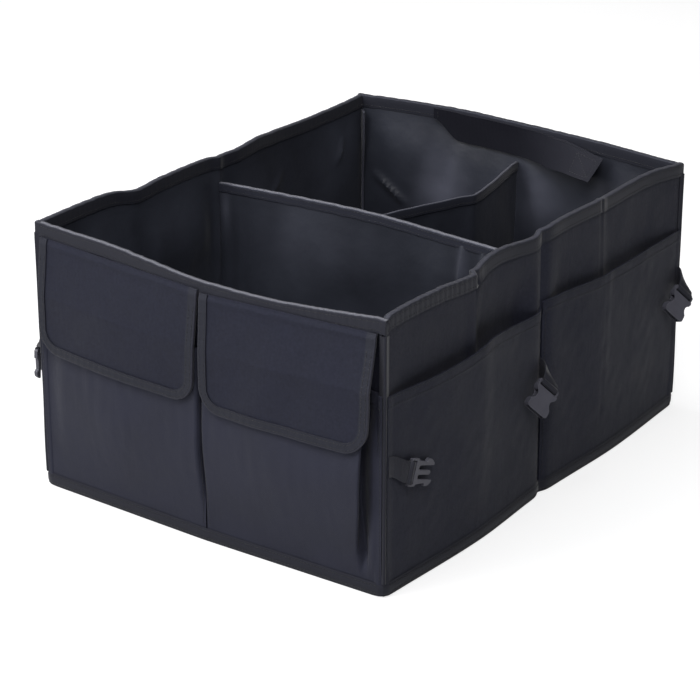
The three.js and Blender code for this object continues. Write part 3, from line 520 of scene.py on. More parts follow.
STRAP = tape_look("strap_webbing", WEB_RIB, srgb(30, 30, 38), 0.55, shine=0.35)
WEBBING = tape_look("webbing", WEB_RIB, srgb(48, 48, 56), 0.55)
SEAM = tape_look("seam_tape", TAPE_RIB, srgb(84, 85, 98), 0.3)
FASTENER = fastener_look()
THREAD = thread_look()
PLASTIC = plastic_look()


# Walls with their linings and bindings

def steps(low, high, size):
    return np.linspace(low, high, max(2, int(round(abs(high - low) / size)) + 1))


def near_seams(wall, s):
    """1 at the middle seam of a side wall and 0 away from it."""
    return np.exp(-np.abs(s) / 12.0) if wall.pinch else 0.0 * s


def cloth_detail(wall, s, z):
    """Shallow folds of the outer cloth, away from the rim, the foot and the ends."""
    edge = smooth((wall.rim(s) - 16 - z) / 30) * smooth((z - 16) / 40) * wall.ends(s)
    folds = 0.9 * ripple(s, z * 0.45, 95.0, wall.seed) + 0.25 * ripple(s, z * 0.6, 26.0, wall.seed + 1)
    pucker = 0.3 * near_seams(wall, s) * np.sin(2 * math.pi * z / 11.0 + 1.5 * ripple(s, z, 60.0, 2))
    return folds * edge + pucker


def creases(wall, s, z):
    """The pressed fold lines of the right wall, deepest near the rim."""
    if wall is not RIGHT:
        return 0.0 * s
    high = smooth((z - 120) / 90)
    front = -7.0 * np.exp(-np.maximum(s - STEP_LINE, 0.0) / 10.0) * smooth((s - STEP_LINE + 6.0) / 8.0)
    rear = -1.3 * np.exp(-((s - FOLD_LINE) / 2.2) ** 2)
    return front * high + rear * (0.35 + 0.65 * high)


def hollow(wall, s, z):
    """How far a side wall sags inwards above its pockets, and the front wall behind its pleats."""
    if wall is REAR:
        return 0.0 * s
    if wall is FRONT:
        inward = wall.half - np.abs(s)
        corners = 5.8 * smooth((inward - 2.0) / 4.0) * smooth((46.0 - inward) / 14.0)
        middle = 4.7 * np.exp(-((s - MIDDLE) / 7.0) ** 4)
        return -(corners + middle) * smooth((z - 14.0) / 18.0) * smooth((246.0 - z) / 14.0)
    front = 8.5 * smooth((s + 122.0) / 26.0) * smooth((-6.0 - s) / 34.0) + 2.6 * smooth((-118.0 - s) / 16.0)
    rear = 3.2 * smooth((s - 8.0) / 24.0) * smooth((92.0 - s) / 50.0) + 1.6 * smooth((s - 106.0) / 20.0)
    return -(front + rear) * wall.ends(s) * np.exp(-((z - 186.0) / 34.0) ** 2)


def make_walls():
    for name, wall in WALLS.items():
        end = wall.half - (0.0 if wall.pinch else WALL_T + GAP + TAPE_T)
        halves = [("_front_half", -end, 0.0), ("_rear_half", 0.0, end)] if wall.pinch else [("", -end, end)]
        for part, low, high in halves:
            make_wall(name, wall, f"{name}_wall{part}", low, high)


def make_wall(name, wall, node, low, high):
    """The outer cloth and the lining of one wall panel; linings in open view have a finer grid."""
    def height(s, row, margin):
        return mix(WALL_BASE, wall.rim(s) - margin, row)

    def cloth(s, row, w):
        z = height(s, row, TAPE_OUT)
        off = cloth_detail(wall, s, z) + creases(wall, s, z)
        return wall.at(s, z, np.minimum(off, 0.2) + hollow(wall, s, z) + (w - 1) * CLOTH_T)

    def lining(s, row, w):
        z = height(s, row, TAPE_OUT)
        sunk = hollow(wall, s, z)
        if wall is FRONT:
            sunk = np.minimum(sunk + 2.0, 0.0)
        pushed = np.minimum(creases(wall, s, z) + 2.0, 0.0) + sunk
        return wall.at(s, z, -WALL_T + w * LINING_T - billow(name, wall, s, z) + pushed)

    def chart(s, row):
        return s, height(s, row, 0.0)

    # Painted highlights on this wall's lining.
    def painted_highlight(s, row):
        return highlight_amount(name, s, height(s, row, 0.0))

    sheet = shell(node + "_cloth", steps(low, high, 3.4), steps(0, 1, 1 / 56), cloth, CLOTH, chart)
    dress(sheet, "box", "cloth", node)
    size, rows = (2.6, 70) if name in ("rear", "left") else (3.4, 56)
    columns, rows = steps(low, high, size), steps(0, 1, 1 / rows)
    sheet = shell(node + "_lining", columns, rows, lining, LINING, chart, painted_highlight)
    dress(sheet, "box", "lining", node)


# Where highlights are painted paler on the lining, as (place, height, half width, half height, amount)
PAINTED_HIGHLIGHTS = {
    "rear": [(-80, 172, 34, 42, 0.85), (-120, 222, 34, 22, 0.12), (30, 190, 32, 34, 0.6),
             (110, 185, 60, 50, 0.15)],
    "left": [(150, 190, 70, 50, 0.1), (60, 205, 40, 24, 0.1)],
    "middle": [(-83, 195, 75, 36, 0.2), (-181, 212, 5, 24, 0.5), (104, 205, 6, 26, 0.35),
               (128, 208, 5, 20, 0.3)],
}
# Folds of the lining: the two ends of each, its width and its height
FOLDS = {
    "rear": [((-172, 177), (-132, 150), 4.0, 4.5), ((-178, 236), (-112, 205), 17.0, 0.8),
             ((-70, 215), (-78, 120), 10.0, 4.0), ((-7, 226), (-6, 110), 3.0, -1.5),
             ((14, 230), (30, 150), 9.0, 3.0)],
    "middle": [((104, 226), (102, 165), 4.0, 4.5), ((128, 224), (126, 180), 3.5, 4.0),
               ((148, 222), (146, 190), 3.5, 3.5)],
    "left": [((76, 192), (104, 212), 3.5, 3.0), ((200, 200), (212, 222), 3.0, 3.0),
             ((-3, 232), (-3, 120), 2.5, 2.0)],
}


def highlight_amount(name, s, z):
    """How strongly a highlight is painted on the lining, 0 to 1; the rear wall's painted highlights end more
    sharply to the right.
    """
    total = 0.0 * s
    for place, height, wide, tall, amount in PAINTED_HIGHLIGHTS.get(name, []):
        across = np.where(s > place, 0.6 * wide, wide) if name == "rear" else wide
        total = total + amount * np.exp(-((s - place) / across) ** 2 - ((z - height) / tall) ** 2)
    return clamp(total * (1.0 + 0.25 * ripple(s, z, 40.0, 61)))


def folds_of(name, s, z):
    """The height of the lining's folds at a place; each fades towards its two ends."""
    total = 0.0 * s * z
    for (s0, z0), (s1, z1), width, height in FOLDS.get(name, []):
        along = np.array([s1 - s0, z1 - z0], float)
        share = clamp(((s - s0) * along[0] + (z - z0) * along[1]) / (along @ along))
        off = np.hypot(s - s0 - share * along[0], z - z0 - share * along[1])
        total = total + height * np.exp(-(off / width) ** 2) * np.sin(math.pi * clamp(0.12 + 0.76 * share))
    return total


def billow(name, wall, s, z):
    """How far the lining stands in from the wall's inner face."""
    below = wall.rim(s) - RIM_TAPE_H - 2 - z
    edge = smooth(below / 45) * smooth((z - 8) / 60) * smooth((wall.half - np.abs(s)) / 18)
    folds = 1.9 + 1.7 * ripple(s, z * 0.35, 85.0, wall.seed + 20)
    folds = folds + 0.5 * ripple(s * 1.3, z * 0.5, 30.0, wall.seed + 21)
    slack = np.maximum(folds, 0.0) * edge * (1.0 - near_seams(wall, s)) + 0.6 * edge
    return np.maximum(slack + folds_of(name, s, z), -1.0)


def toothed(name, s):
    """Where tight stitching puckers a rim: the front's right end and the front of the right wall."""
    if name == "front":
        return smooth((s - 40.0) / 90.0)
    return smooth((-60.0 - s) / 90.0) if name == "right" else 0.3


def make_rim_tapes():
    for name, wall in WALLS.items():
        make_rim_tape(name, wall)


def make_rim_tape(name, wall):
    end = wall.half + (0.2 if wall.pinch else TAPE_OUT)
    flare, look = (0.3, FRONT_TAPE) if name == "front" else (0.0, RIM_TAPE)

    def place(x, y, s):
        scallop = 0.04 * np.sin(2 * math.pi * s / 4.3) * smooth(-y / 6)
        z = wall.rim(s) + y
        tight = creases(wall, s, z) * smooth((y + RIM_TAPE_H) / 4 + 0.4) * 0.9
        saw = 0.16 * np.sin(2 * math.pi * s / 7.3 + 0.8 * ripple(s, 0.0, 60.0, 41)) * toothed(name, s)
        return wall.at(s, z + 0.25 * ripple(s, 0.0, 17.0, 40) + saw, x + scallop + tight + 0.6 * saw)

    section = folded(WALL_T, RIM_TAPE_H, flare)
    binding = run(name + "_rim_binding", section, steps(-end, end, 1.3), place, look)
    dress(binding, "box", "tape", name + "_rim_tape")
    s = steps(-end + 3, end - 3, 2.0)
    for depth, out, facing in ((3.4, TAPE_OUT + flare * 0.05, 1), (10.4, TAPE_OUT + flare * 0.72, 1),
                               (10.4, -(WALL_T + TAPE_OUT), -1)):
        z = wall.rim(s) - depth
        stitch_wall("box", wall, s, z, out + creases(wall, s, z) * 0.9, facing)


def make_base_tapes():
    across, along = WIDTH / 2 + BASE_TURN, LENGTH / 2 + BASE_TURN
    for name, reach, out in (("front", across, OVER_POCKET), ("rear", across, GAP),
                             ("left", along, OVER_POCKET), ("right", along, OVER_POCKET)):
        make_base_tape(name, WALLS[name], reach, out)


def make_base_tape(name, wall, reach, out):
    def place(s, z, w):
        scallop = 0.03 * np.sin(2 * math.pi * s / 4.3) - 0.85 * smooth((z - 9.5) / 3.5) * w
        roll = 1.6 * smooth((4.0 - z) / 4.0) ** 2
        near = smooth((np.abs(s) - wall.half + 12.0) / 14.0)
        return wall.at(s, z + 0.9 * near * (1 - z / BASE_TAPE_H), out + w * TAPE_T - roll * w + scallop)

    rows = [GAP, 1.4, 4.0, 7.0, 10.0, 12.2, BASE_TAPE_H]
    tape = shell(name + "_base_binding", steps(-reach, reach, 1.3), rows, place, TAPE)
    dress(tape, "box", "tape", name + "_base_tape")
    s = steps(-reach + 6, reach - 6, 2.0)
    for z in (3.6, 10.6):
        stitch_wall("box", wall, s, z, out + TAPE_T + 0.05)


def make_corner_tapes():
    for side, x in (("left", -1), ("right", 1)):
        for end, y, wall in (("front", -1, FRONT), ("rear", 1, REAR)):
            rim = min(float(SIDES[side].rim(y * LENGTH / 2)), float(wall.rim(x * WIDTH / 2)))
            make_corner_tape(f"{end}_{side}_corner", x, y, rim)
            make_inner_seam(f"{end}_{side}_corner", x, y, rim)


def make_corner_tape(name, x, y, rim):
    turn = np.linspace(-0.9, math.pi / 2 + 0.9, 11)
    bead = [(TAPE_OUT + BEAD_R * math.cos(t) - 0.5, TAPE_OUT + BEAD_R * math.sin(t) - 0.5) for t in turn]
    section = [(GAP, -5.0), (TAPE_OUT - 0.2, -5.0), (TAPE_OUT, -4.6)] + bead
    section += [(-4.6, TAPE_OUT), (-5.0, TAPE_OUT - 0.2), (-5.0, GAP), (GAP, GAP)]

    def place(a, b, z):
        sway = 0.35 * ripple(z, 0.0, 70.0, 60)
        return points_of(x * (WIDTH / 2 + a + sway), y * (LENGTH / 2 + b + sway), z)

    rows = steps(BASE_TAPE_H + GAP, rim - RIM_TAPE_H + 2.0, 3.0)
    dress(run(name + "_binding", section, rows, place, TAPE), "box", "tape", name + "_tape")


def make_inner_seam(name, x, y, rim):
    """The seam allowance that stands in a corner of the lining, widest near the rim."""
    def place(a, b, z):
        depth = WALL_T + 2.0 + a * (0.35 + 0.65 * smooth((z - 165.0) / 60.0))
        across, along = (depth + b) * SEAM_SHARE, (depth - b) * SEAM_SHARE
        return points_of(x * (WIDTH / 2 - across), y * (LENGTH / 2 - along), z)

    rows = steps(WALL_BASE + 5, rim - RIM_TAPE_H - 3, 4.0)
    dress(run(name + "_inner_seam", fin_section(10.0, 2.0), rows, place, SEAM), "box", "tape")


def fin_section(length, thickness):
    """A flat strip standing from x = 0 with a rounded free edge."""
    half = thickness / 2
    turn = np.linspace(-math.pi / 2, math.pi / 2, 5)
    tip = [(length - half + half * math.cos(t), half * math.sin(t)) for t in turn]
    return [(0.0, -half)] + tip + [(0.0, half)]


def make_floor():
    make_floor_cloth()
    for node in ("front_base_board", "rear_base_board"):
        make_board_cover(node)


def make_floor_cloth():
    outline = []
    for wall, low, high in ((FRONT, -1, 1), (RIGHT, -1, 1), (REAR, 1, -1), (LEFT, 1, -1)):
        outline += wall.at(steps(low * wall.half, high * wall.half, 6.0)[:-1], 0.0, 0.0)[:, :2].tolist()
    outline = np.array(outline)
    count = len(outline)
    rings = ((0.5, 0.0), (0.0, 0.6), (0.0, 40.0), (FLOOR_T, 40.0), (FLOOR_T, 0.0))
    verts = np.concatenate([np.column_stack([outline * (1 - inset / 200), np.full(count, z)])
                            for z, inset in rings])
    faces = []
    for r, r2 in ((0, 1), (1, 2), (3, 4), (4, 0)):
        faces += [(r * count + i, r * count + (i + 1) % count, r2 * count + (i + 1) % count, r2 * count + i)
                  for i in range(count)]
    faces += [tuple(range(2 * count, 3 * count)), tuple(range(4 * count - 1, 3 * count - 1, -1))]
    charts = [verts[list(f)][:, :2] for f in faces]
    dress(build("floor_cloth", verts, faces, charts, CLOTH), "box", "cloth", "floor_panel")


def make_board_cover(node):
    low, high = (np.array(p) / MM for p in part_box(node))

    def place(x, y, w):
        edge = np.minimum(np.minimum(x - low[0], high[0] - x), np.minimum(y - low[1], high[1] - y))
        swell = 0.5 * smooth(edge / 14) * (0.6 + 0.4 * ripple(x, y, 120.0, 71))
        return points_of(x, y, low[2] + 0.6 * (1 - w) + w * (BOARD_T - 0.9 + swell))

    cover = shell(node + "_cover", steps(low[0], high[0], 6.0), steps(low[1], high[1], 6.0), place, LINING)
    dress(cover, "box", "lining", node)
    hem = 7.0
    x0, x1, y0, y1 = low[0] + hem, high[0] - hem, low[1] + hem, high[1] - hem
    loop = np.array([(x0, y0), (x1, y0), (x1, y1), (x0, y1), (x0, y0)])
    t = np.linspace(0, 1, 60)[:, None]
    for a, b in zip(loop[:-1], loop[1:]):
        row = np.column_stack([a * (1 - t) + b * t, np.full(60, low[2] + BOARD_T - 0.6)])
        stitch("box", row, np.tile([0.0, 0.0, 1.0], (60, 1)))


# Dividers

divider_rim = wave([(-1, -1), (-0.5, 1), (0, 2), (0.5, -1), (1, -3)])


def divider_y(x):
    return DIVIDER_BOW * np.cos(math.pi * x / WIDTH)


def divider_x(u, z):
    """The place across the box at share u of the middle divider, from its left end."""
    left_x = LEFT.at(0.0 * z, z, -WALL_T)[..., 0] + 2 * GAP
    right_x = RIGHT.at(0.0 * z, z, -WALL_T)[..., 0] - 2 * GAP
    return mix(left_x, right_x, u)


def divider_wave(u, z):
    """The divider's covering: gathers near its ends and a slack front."""
    drop = smooth((DIVIDER_H - DIVIDER_TAPE_H - z) / 40) * smooth(z / 50)
    right_end = np.exp(-((u - 0.84) / 0.1) ** 2) * np.sin(2 * math.pi * u / 0.062) * 0.9
    left_end = np.exp(-((u - 0.05) / 0.05) ** 2) * np.sin(2 * math.pi * u / 0.05) * 0.8
    return drop * (right_end + left_end + 0.8 * ripple(u * DIVIDER_RIPPLE, z * 0.4, 120.0, 81))


def make_middle_divider():
    def top(u):
        return DIVIDER_H + divider_rim(2 * u - 1)

    def place(u, v, w):
        z = mix(WALL_BASE, top(u) - TAPE_OUT, v)
        x = divider_x(u, z)
        swell = divider_wave(u, z) * (w - 0.5) * 1.6 + folds_of("middle", (u - 0.5) * DIVIDER_SPAN, z) * w
        return points_of(x, divider_y(x) + (0.5 - w) * WALL_T - swell, z)

    def chart(u, v):
        return u * DIVIDER_SPAN, v * DIVIDER_DRAWN

    # Painted highlights on the divider's lining.
    def painted_highlight(u, v):
        return highlight_amount("middle", (u - 0.5) * DIVIDER_SPAN, v * DIVIDER_DRAWN)

    rows = steps(0, 1, 1 / 70)
    cover = shell("middle_divider_cover", steps(0, 1, 1 / 150), rows, place, LINING, chart, painted_highlight)
    dress(cover, "box", "lining", "middle_divider")

    def over(n, y, u):
        z = top(u) + y
        x = divider_x(u, z)
        lift = 0.2 * ripple(u * DIVIDER_RIPPLE, 0.0, 15.0, 82)
        return points_of(x, divider_y(x) - WALL_T / 2 - n, z + lift)

    section = folded(WALL_T, DIVIDER_TAPE_H)
    binding = run("middle_divider_binding", section, steps(0, 1, 1 / 280), over, DIVIDER_TAPE)
    dress(binding, "box", "tape", "middle_divider_tape")
    u = steps(0.01, 0.99, 1 / 190)
    for n, depth, facing in ((TAPE_OUT, 2.6, 1), (TAPE_OUT, 7.2, 1), (-(WALL_T + TAPE_OUT), 7.2, -1)):
        here = over(n, -depth, u)
        stitch("box", here, over(n + facing, -depth, u) - here)


def soft_path(t):
    """A point and a direction on the soft divider's plan, by share t of its length."""
    points = np.array(SOFT_DIVIDER_PATH, float) * [1.0, REAR_DEPTH]
    knots = np.concatenate([[0], np.cumsum(np.hypot(*np.diff(points, axis=0).T))])
    knots /= knots[-1]
    curve_x, curve_y = (wave(list(zip(2 * knots - 1, column))) for column in points.T)

    def at(share):
        return np.stack([curve_x(2 * share - 1), -curve_y(2 * share - 1)], -1)

    step = 0.003
    d = at(t + step) - at(t - step)
    return at(t), d / np.linalg.norm(d, axis=-1, keepdims=True)


def beside_soft(t, n, z):
    p, d = soft_path(t)
    near = WALL_T / 2 + TAPE_OUT + 2 * GAP
    rear_y = REAR.at(p[..., 0], z, -WALL_T)[..., 1] - 2 * GAP - 2.4
    y = mix(rear_y, divider_y(p[..., 0]) + near, -p[..., 1] / REAR_DEPTH)
    return points_of(p[..., 0] + d[..., 1] * n, y - d[..., 0] * n, z)


def make_soft_divider():
    foot, top = WALL_BASE + BOARD_T + GAP, SOFT_DIVIDER_H

    def place(t, z, w):
        slack = smooth((z - foot) / 60) * smooth((top - 12 - z) / 50) * smooth(t * 12) * smooth((1 - t) * 12)
        return beside_soft(t, (w - 1) * CLOTH_T + 1.6 * slack * ripple(t * SOFT_RIPPLE, z * 0.5, 90.0, 91), z)

    def chart(t, z):
        return t * SOFT_SPAN, z

    rows = steps(foot, top - TAPE_OUT, 3.4)
    sheet = shell("soft_divider_cloth", steps(0, 1, 1 / 120), rows, place, LINING, chart)
    dress(sheet, "box", "lining", "soft_divider")

    def over(n, y, t):
        return beside_soft(t, n, top + y + 0.3 * ripple(t * SOFT_RIPPLE, 0.0, 20.0, 92))

    section = folded(CLOTH_T, DIVIDER_TAPE_H)
    binding = run("soft_divider_binding", section, steps(0, 1, 1 / 190), over, SOFT_TAPE)
    dress(binding, "box", "tape", "soft_divider_tape")
    t = steps(0.01, 0.99, 1 / 130)
    for n, sign in ((TAPE_OUT, 1), (-CLOTH_T - TAPE_OUT, -1)):
        here = over(n, -6.8, t)
        stitch("box", here, over(n + sign, -6.8, t) - here)


# Front pockets and flaps

def opening(pocket, s):
    """How far a front pocket stands open at its fullest height."""
    middle, half, corner = pocket["fill"]
    side = pocket["side"]
    t = clamp((s - side * CENTRE_SEAM) / (side * (WIDTH / 2 - POCKET_MARGIN - CENTRE_SEAM)))
    return np.where(t < 0.5, mix(middle, half, smooth(2 * t)), mix(half, corner, smooth(2 * t - 1)))


def lift(pocket, z):
    """The share of that fullness at height z: it grows from the foot and is drawn in at the edge."""
    fullest = BASE_TAPE_H + POCKET_FILL_H
    drawn = mix(1.0, pocket["drawn"], smooth((z - fullest) / (POCKET_TOP - fullest)))
    return smooth((z - BASE_TAPE_H) / POCKET_FILL_H) * drawn


def fold_z(pocket, s):
    """The height of a flap's sewn fold line, which slants a little."""
    middle, corner = pocket["fold"]
    return HEIGHT - mix(middle, corner, clamp(np.abs(s) / (WIDTH / 2)))


# The pleat beside a corner in plan: how far along the cloth, how far in from the corner, how far out of the
# wall, and the share of the pocket's fullness there
PLEAT = np.array([(0, 0, 1.4, 0), (5, 5, 1.7, 0), (9, 9, 2.2, 0), (13, 13, 0.5, 0), (20, 20, -4.2, 0),
                  (27, 27, -4.8, 0.05), (34, 25, 0.2, 0.45), (40, 16.5, 0.6, 0.86), (44, 15.5, 0.6, 1.0),
                  (56, 26, 0.6, 1.0), (70, 40, 0.6, 1.0)], float)
# The length of cloth that the pleat takes up
PLEAT_SPARE = 30.0
# The same cloth at the foot, where the pleat is closed: how far along it, and how far in from the corner
FLAT_PLEAT = np.array([(0, 0), (13, 13), (44, 29), (56, 34), (70, 40)], float)


def pleat_lines():
    """The pleat's columns as smooth lines over the cloth's own length."""
    span = PLEAT[-1, 0]
    return span, [wave(list(zip(2 * PLEAT[:, 0] / span - 1, PLEAT[:, k]))) for k in (1, 2, 3)]


def pocket_width(side):
    return abs(side * (WIDTH / 2 - POCKET_MARGIN) - MIDDLE - side * CENTRE_SEAM)


def pleated(pocket, q, z):
    """A point of a front pocket, q along its cloth from the corner: its place and its distance out."""
    side = pocket["side"]
    full = pocket_width(side)
    span, (inwards, outwards, shares) = pleat_lines()
    beyond, share = q >= span, 2 * q / span - 1
    closed = smooth((POCKET_TOP + 26 - z) / 60)
    depth, turned = smooth((z - 13) / 26) * closed, smooth((z - 13) / 90) * closed
    folded_in = np.where(beyond, q - PLEAT_SPARE, inwards(share))
    flat_in = np.where(beyond, q - PLEAT_SPARE, np.interp(q, *FLAT_PLEAT.T))
    if not pocket["pleat"]:
        depth, turned, flat_in = 0.0, 0.0, q * full / (full + PLEAT_SPARE)
    s = side * (WIDTH / 2 - POCKET_MARGIN - mix(flat_in, folded_in, turned))
    own = np.where(beyond, 1.0, shares(share))
    foot = np.where(beyond, POCKET_FOOT, outwards(share))
    foot = mix(POCKET_FOOT + 0.8 * smooth((7.0 - q) / 1.5), foot, depth)
    slot = 5.4 * smooth((z - 130.0) / 40.0) * smooth((q - 2.5) / 3.0) * smooth((26.0 - q) / 8.0)
    seam = 4.2 * np.exp(-(side * (s - MIDDLE) / 2.6) ** 2) * smooth((z - 20.0) / 50.0)
    return s, foot - slot - seam + front_swell(pocket, s, z) * clamp(mix(smooth((q - 8) / 30), own, depth))


def front_swell(pocket, s, z):
    """How far a front pocket's cloth stands out where it is full."""
    from_middle = pocket["side"] * (s - MIDDLE) - CENTRE_SEAM
    folds = 0.8 * ripple(s, z * 0.4, 90.0, 101 + pocket["side"]) + 0.2 * ripple(s, z * 0.2, 15.0, 111)
    full = smooth(from_middle / (5.0 if pocket["side"] < 0 else 1.6))
    return (opening(pocket, s) + np.maximum(folds + 0.6, 0)) * lift(pocket, z) * full


def flap_out(pocket, s, drop):
    """How far out a flap's inner face lies, resting on its full pocket."""
    ramp = float(fold_z(pocket, CENTRE_SEAM)) - POCKET_TOP - FLAP_FLAT_H - 4 * GAP
    hung = HINGE_OUT - FLAP_T / 2
    stack = 4 * GAP + 2 * PATCH_T
    low = POCKET_FOOT + opening(pocket, s) * lift(pocket, fold_z(pocket, s) - drop) + CLOTH_T + stack
    low = low + 0.5 * ripple(s, drop, 70.0, 121 + pocket["side"]) + 0.5
    out = mix(hung, np.maximum(low, hung), clamp((drop - 3.0) / (ramp + FLAP_FLAT_H - 3.0)))
    tucked = smooth(-drop / FLAP_UNDER)
    return out - 1.9 * tucked


def make_front_pockets():
    for name, pocket in POCKETS.items():
        make_front_pocket(name, pocket)


def make_front_pocket(name, pocket):
    side = pocket["side"]
    length = pocket_width(side) + PLEAT_SPARE
    hem = POCKET_TOP - 12.0

    def place(q, z, w):
        s, out = pleated(pocket, q, z)
        s2, out2 = pleated(pocket, q + 0.5, z)
        across, outward = side * (s2 - s), out2 - out
        size = np.hypot(across, outward)
        thick = w * (CLOTH_T + 0.5 * smooth((z - hem) / 0.8))
        return FRONT.at(s + side * outward / size * thick, z, out - across / size * thick)

    near, far = 72, length - 12
    along = np.unique(np.concatenate([steps(0, near, 0.9), steps(near, far, 2.4), steps(far, length, 0.6)]))
    rows = np.unique(np.concatenate([steps(WALL_BASE, POCKET_TOP, 3.2), [hem, hem + 0.8]]))
    piece = shell(f"{name}_front_pocket_cloth", along, rows, place, POCKET_CLOTH)
    dress(piece, "box", "cloth", f"{name}_front_pocket")
    z = steps(WALL_BASE + 14, POCKET_TOP - 3, 2.0)
    for q in (1.8, length - 3.0):
        here = place(np.full(len(z), q), z, np.ones(len(z)))
        stitch("box", here, here - place(np.full(len(z), q), z, np.zeros(len(z))))


def flap_start(drop):
    """How far a flap's inner side edge stands from the middle, a little more lower down."""
    return FLAP_CENTRE + FLAP_TAPER * np.clip(drop, 0.0, FLAP_H)


def flap_outline(pocket):
    """Down one side of a flap, round its lower edge and up the other: place, drop and the way inwards."""
    side = pocket["side"]
    end, straight = side * (WIDTH / 2 - FLAP_MARGIN), FLAP_H - FLAP_R
    start = MIDDLE + side * flap_start(straight)
    down = steps(-FLAP_UNDER, straight - 0.5, 1.5)
    turn = np.linspace(0, math.pi / 2, 20)
    rows = [(MIDDLE + side * flap_start(d), d, side, 0.0) for d in down]
    rows += [(start + side * FLAP_R * (1 - math.cos(a)), straight + FLAP_R * math.sin(a),
              side * math.cos(a), -math.sin(a)) for a in turn]
    rows += [(s, FLAP_H, 0.0, -1.0) for s in steps(start + side * FLAP_R, end - side * FLAP_R, 1.6)[1:-1]]
    rows += [(end - side * FLAP_R * (1 - math.cos(a)), straight + FLAP_R * math.sin(a),
              -side * math.cos(a), -math.sin(a)) for a in turn[::-1]]
    rows += [(end, d, -side, 0.0) for d in down[::-1]]
    return np.array(rows)


def on_flap(pocket, s, drop, n):
    """A point of a flap at place s, that far below its fold line and n out from its inner face."""
    return FRONT.at(s, fold_z(pocket, s) - drop, flap_out(pocket, s, drop) + n)


def make_flaps():
    for name, pocket in POCKETS.items():
        outline = flap_outline(pocket)
        piece = make_flap_cloth(name, pocket)
        binding = make_flap_binding(name, pocket, outline)
        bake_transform(piece)
        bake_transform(binding)
        sew_flap(name, pocket, outline)
        make_fastener(name, pocket)


def make_flap_cloth(name, pocket):
    side, straight, radius = pocket["side"], FLAP_H - FLAP_R, FLAP_R - TAPE_OUT
    far = side * (WIDTH / 2 - FLAP_MARGIN - TAPE_OUT)
    width = abs(far - MIDDLE) - flap_start(straight) - TAPE_OUT

    def drop_of(p, row):
        beyond = np.maximum(0.0, radius - np.minimum(p, width - p))
        lowest = FLAP_H - TAPE_OUT - radius + np.sqrt(np.maximum(radius ** 2 - beyond ** 2, 0.0))
        return mix(-FLAP_UNDER, lowest, row)

    def place(p, row, w):
        drop = drop_of(p, row)
        start = MIDDLE + side * (flap_start(np.minimum(drop, straight)) + TAPE_OUT)
        return on_flap(pocket, mix(start, far, p / width), drop, w * FLAP_T)

    def chart(p, row):
        return p, drop_of(p, row)

    edges = np.array([0.4, 1, 2, 3.4, 5, 7])
    along = np.unique(np.concatenate([steps(0.0, width, 2.2), edges, width - edges]))
    piece = shell(f"{name}_flap_cloth", along, steps(0, 1, 1 / 74), place, FLAP_CLOTH, chart)
    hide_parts(f"{name}_flap")
    return piece


def make_flap_binding(name, pocket, outline):
    def place(n, y, i):
        s, drop, in_s, in_drop = np.moveaxis(outline[np.rint(i).astype(int)], -1, 0)
        scallop = 0.1 * np.sin(i * 1.3)
        return on_flap(pocket, s - in_s * y, drop - in_drop * y, FLAP_T + n + scallop)

    spacing = np.hypot(np.diff(outline[:, 0]), np.diff(outline[:, 1]))
    section, path = folded(FLAP_T, FLAP_TAPE_W), np.arange(len(outline))
    binding = run(f"{name}_flap_binding", section, path, place, FLAP_TAPE, spacing=spacing)
    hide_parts(f"{name}_flap_tape")
    return binding


def sew_flap(name, pocket, outline):
    s, drop, in_s, in_drop = outline[outline[:, 1] > 8].T
    for depth in (2.4, 7.0):
        here, above = (on_flap(pocket, s + in_s * depth, drop + in_drop * depth, FLAP_T + TAPE_OUT + n)
                       for n in (0, 1))
        stitch(f"{name}_flap", here, above - here)


def make_fastener(name, pocket):
    middle = pocket["side"] * WIDTH / 4
    s = steps(middle - PATCH_W / 2, middle + PATCH_W / 2, 2.0)
    drops = steps(FLAP_H - PATCH_RISE - PATCH_H, FLAP_H - PATCH_RISE, 2.0)

    def under_flap(a, b, w):
        return on_flap(pocket, a, b, -GAP - w * PATCH_T)

    def on_pocket(a, b, w):
        z = fold_z(pocket, a) - b
        return FRONT.at(a, z, POCKET_FOOT + front_swell(pocket, a, z) + CLOTH_T + 0.15 + w * PATCH_T)

    hook = shell(f"{name}_hook_pile", s, drops, under_flap, FASTENER)
    dress(hook, f"{name}_flap", "fastener", f"{name}_hook_patch")
    loop = shell(f"{name}_loop_pile", s, drops, on_pocket, FASTENER)
    dress(loop, "box", "fastener", f"{name}_loop_patch")


# Side pockets

side_rim = wave([(-1, 0), (-0.55, 0), (-0.43, 3), (-0.02, -3), (0.02, 5), (0.4, 2), (1, 1)])
SIDE_TO = LENGTH / 2 - 1.2


def side_pocket_out(s, z):
    """How far a side pocket's cloth stands out: its fullness, its folds, and its pressed fold line."""
    share = clamp((np.abs(s) - SIDE_SEAM) / (SIDE_TO - SIDE_SEAM))
    up = smooth((z - BASE_TAPE_H) / (SIDE_POCKET_TOP - BASE_TAPE_H))
    folds = 0.55 * ripple(s, z * 0.5, 80.0, 131) + 0.16 * ripple(s * 0.6, z, 14.0, 132) + 0.5
    away = smooth((np.abs(s) - SIDE_SEAM) / 26) * smooth((SIDE_TO - np.abs(s)) / 26) * smooth((z - 14) / 40)
    over_tape = 0.8 * smooth((6.0 - SIDE_TO + np.abs(s)) / 1.6)
    line = 0.7 * np.exp(-((s - FOLD_LINE) / 2.0) ** 2) * smooth((z - 20) / 30)
    full = SIDE_POCKET_FILL * np.sin(math.pi * share) * up
    return POCKET_FOOT + over_tape - np.minimum(line, 0.5) + full + np.maximum(folds, 0) * away


def make_side_pockets():
    for side, wall in SIDES.items():
        make_side_pocket(side, wall, "front", -1)
        make_side_pocket(side, wall, "rear", 1)


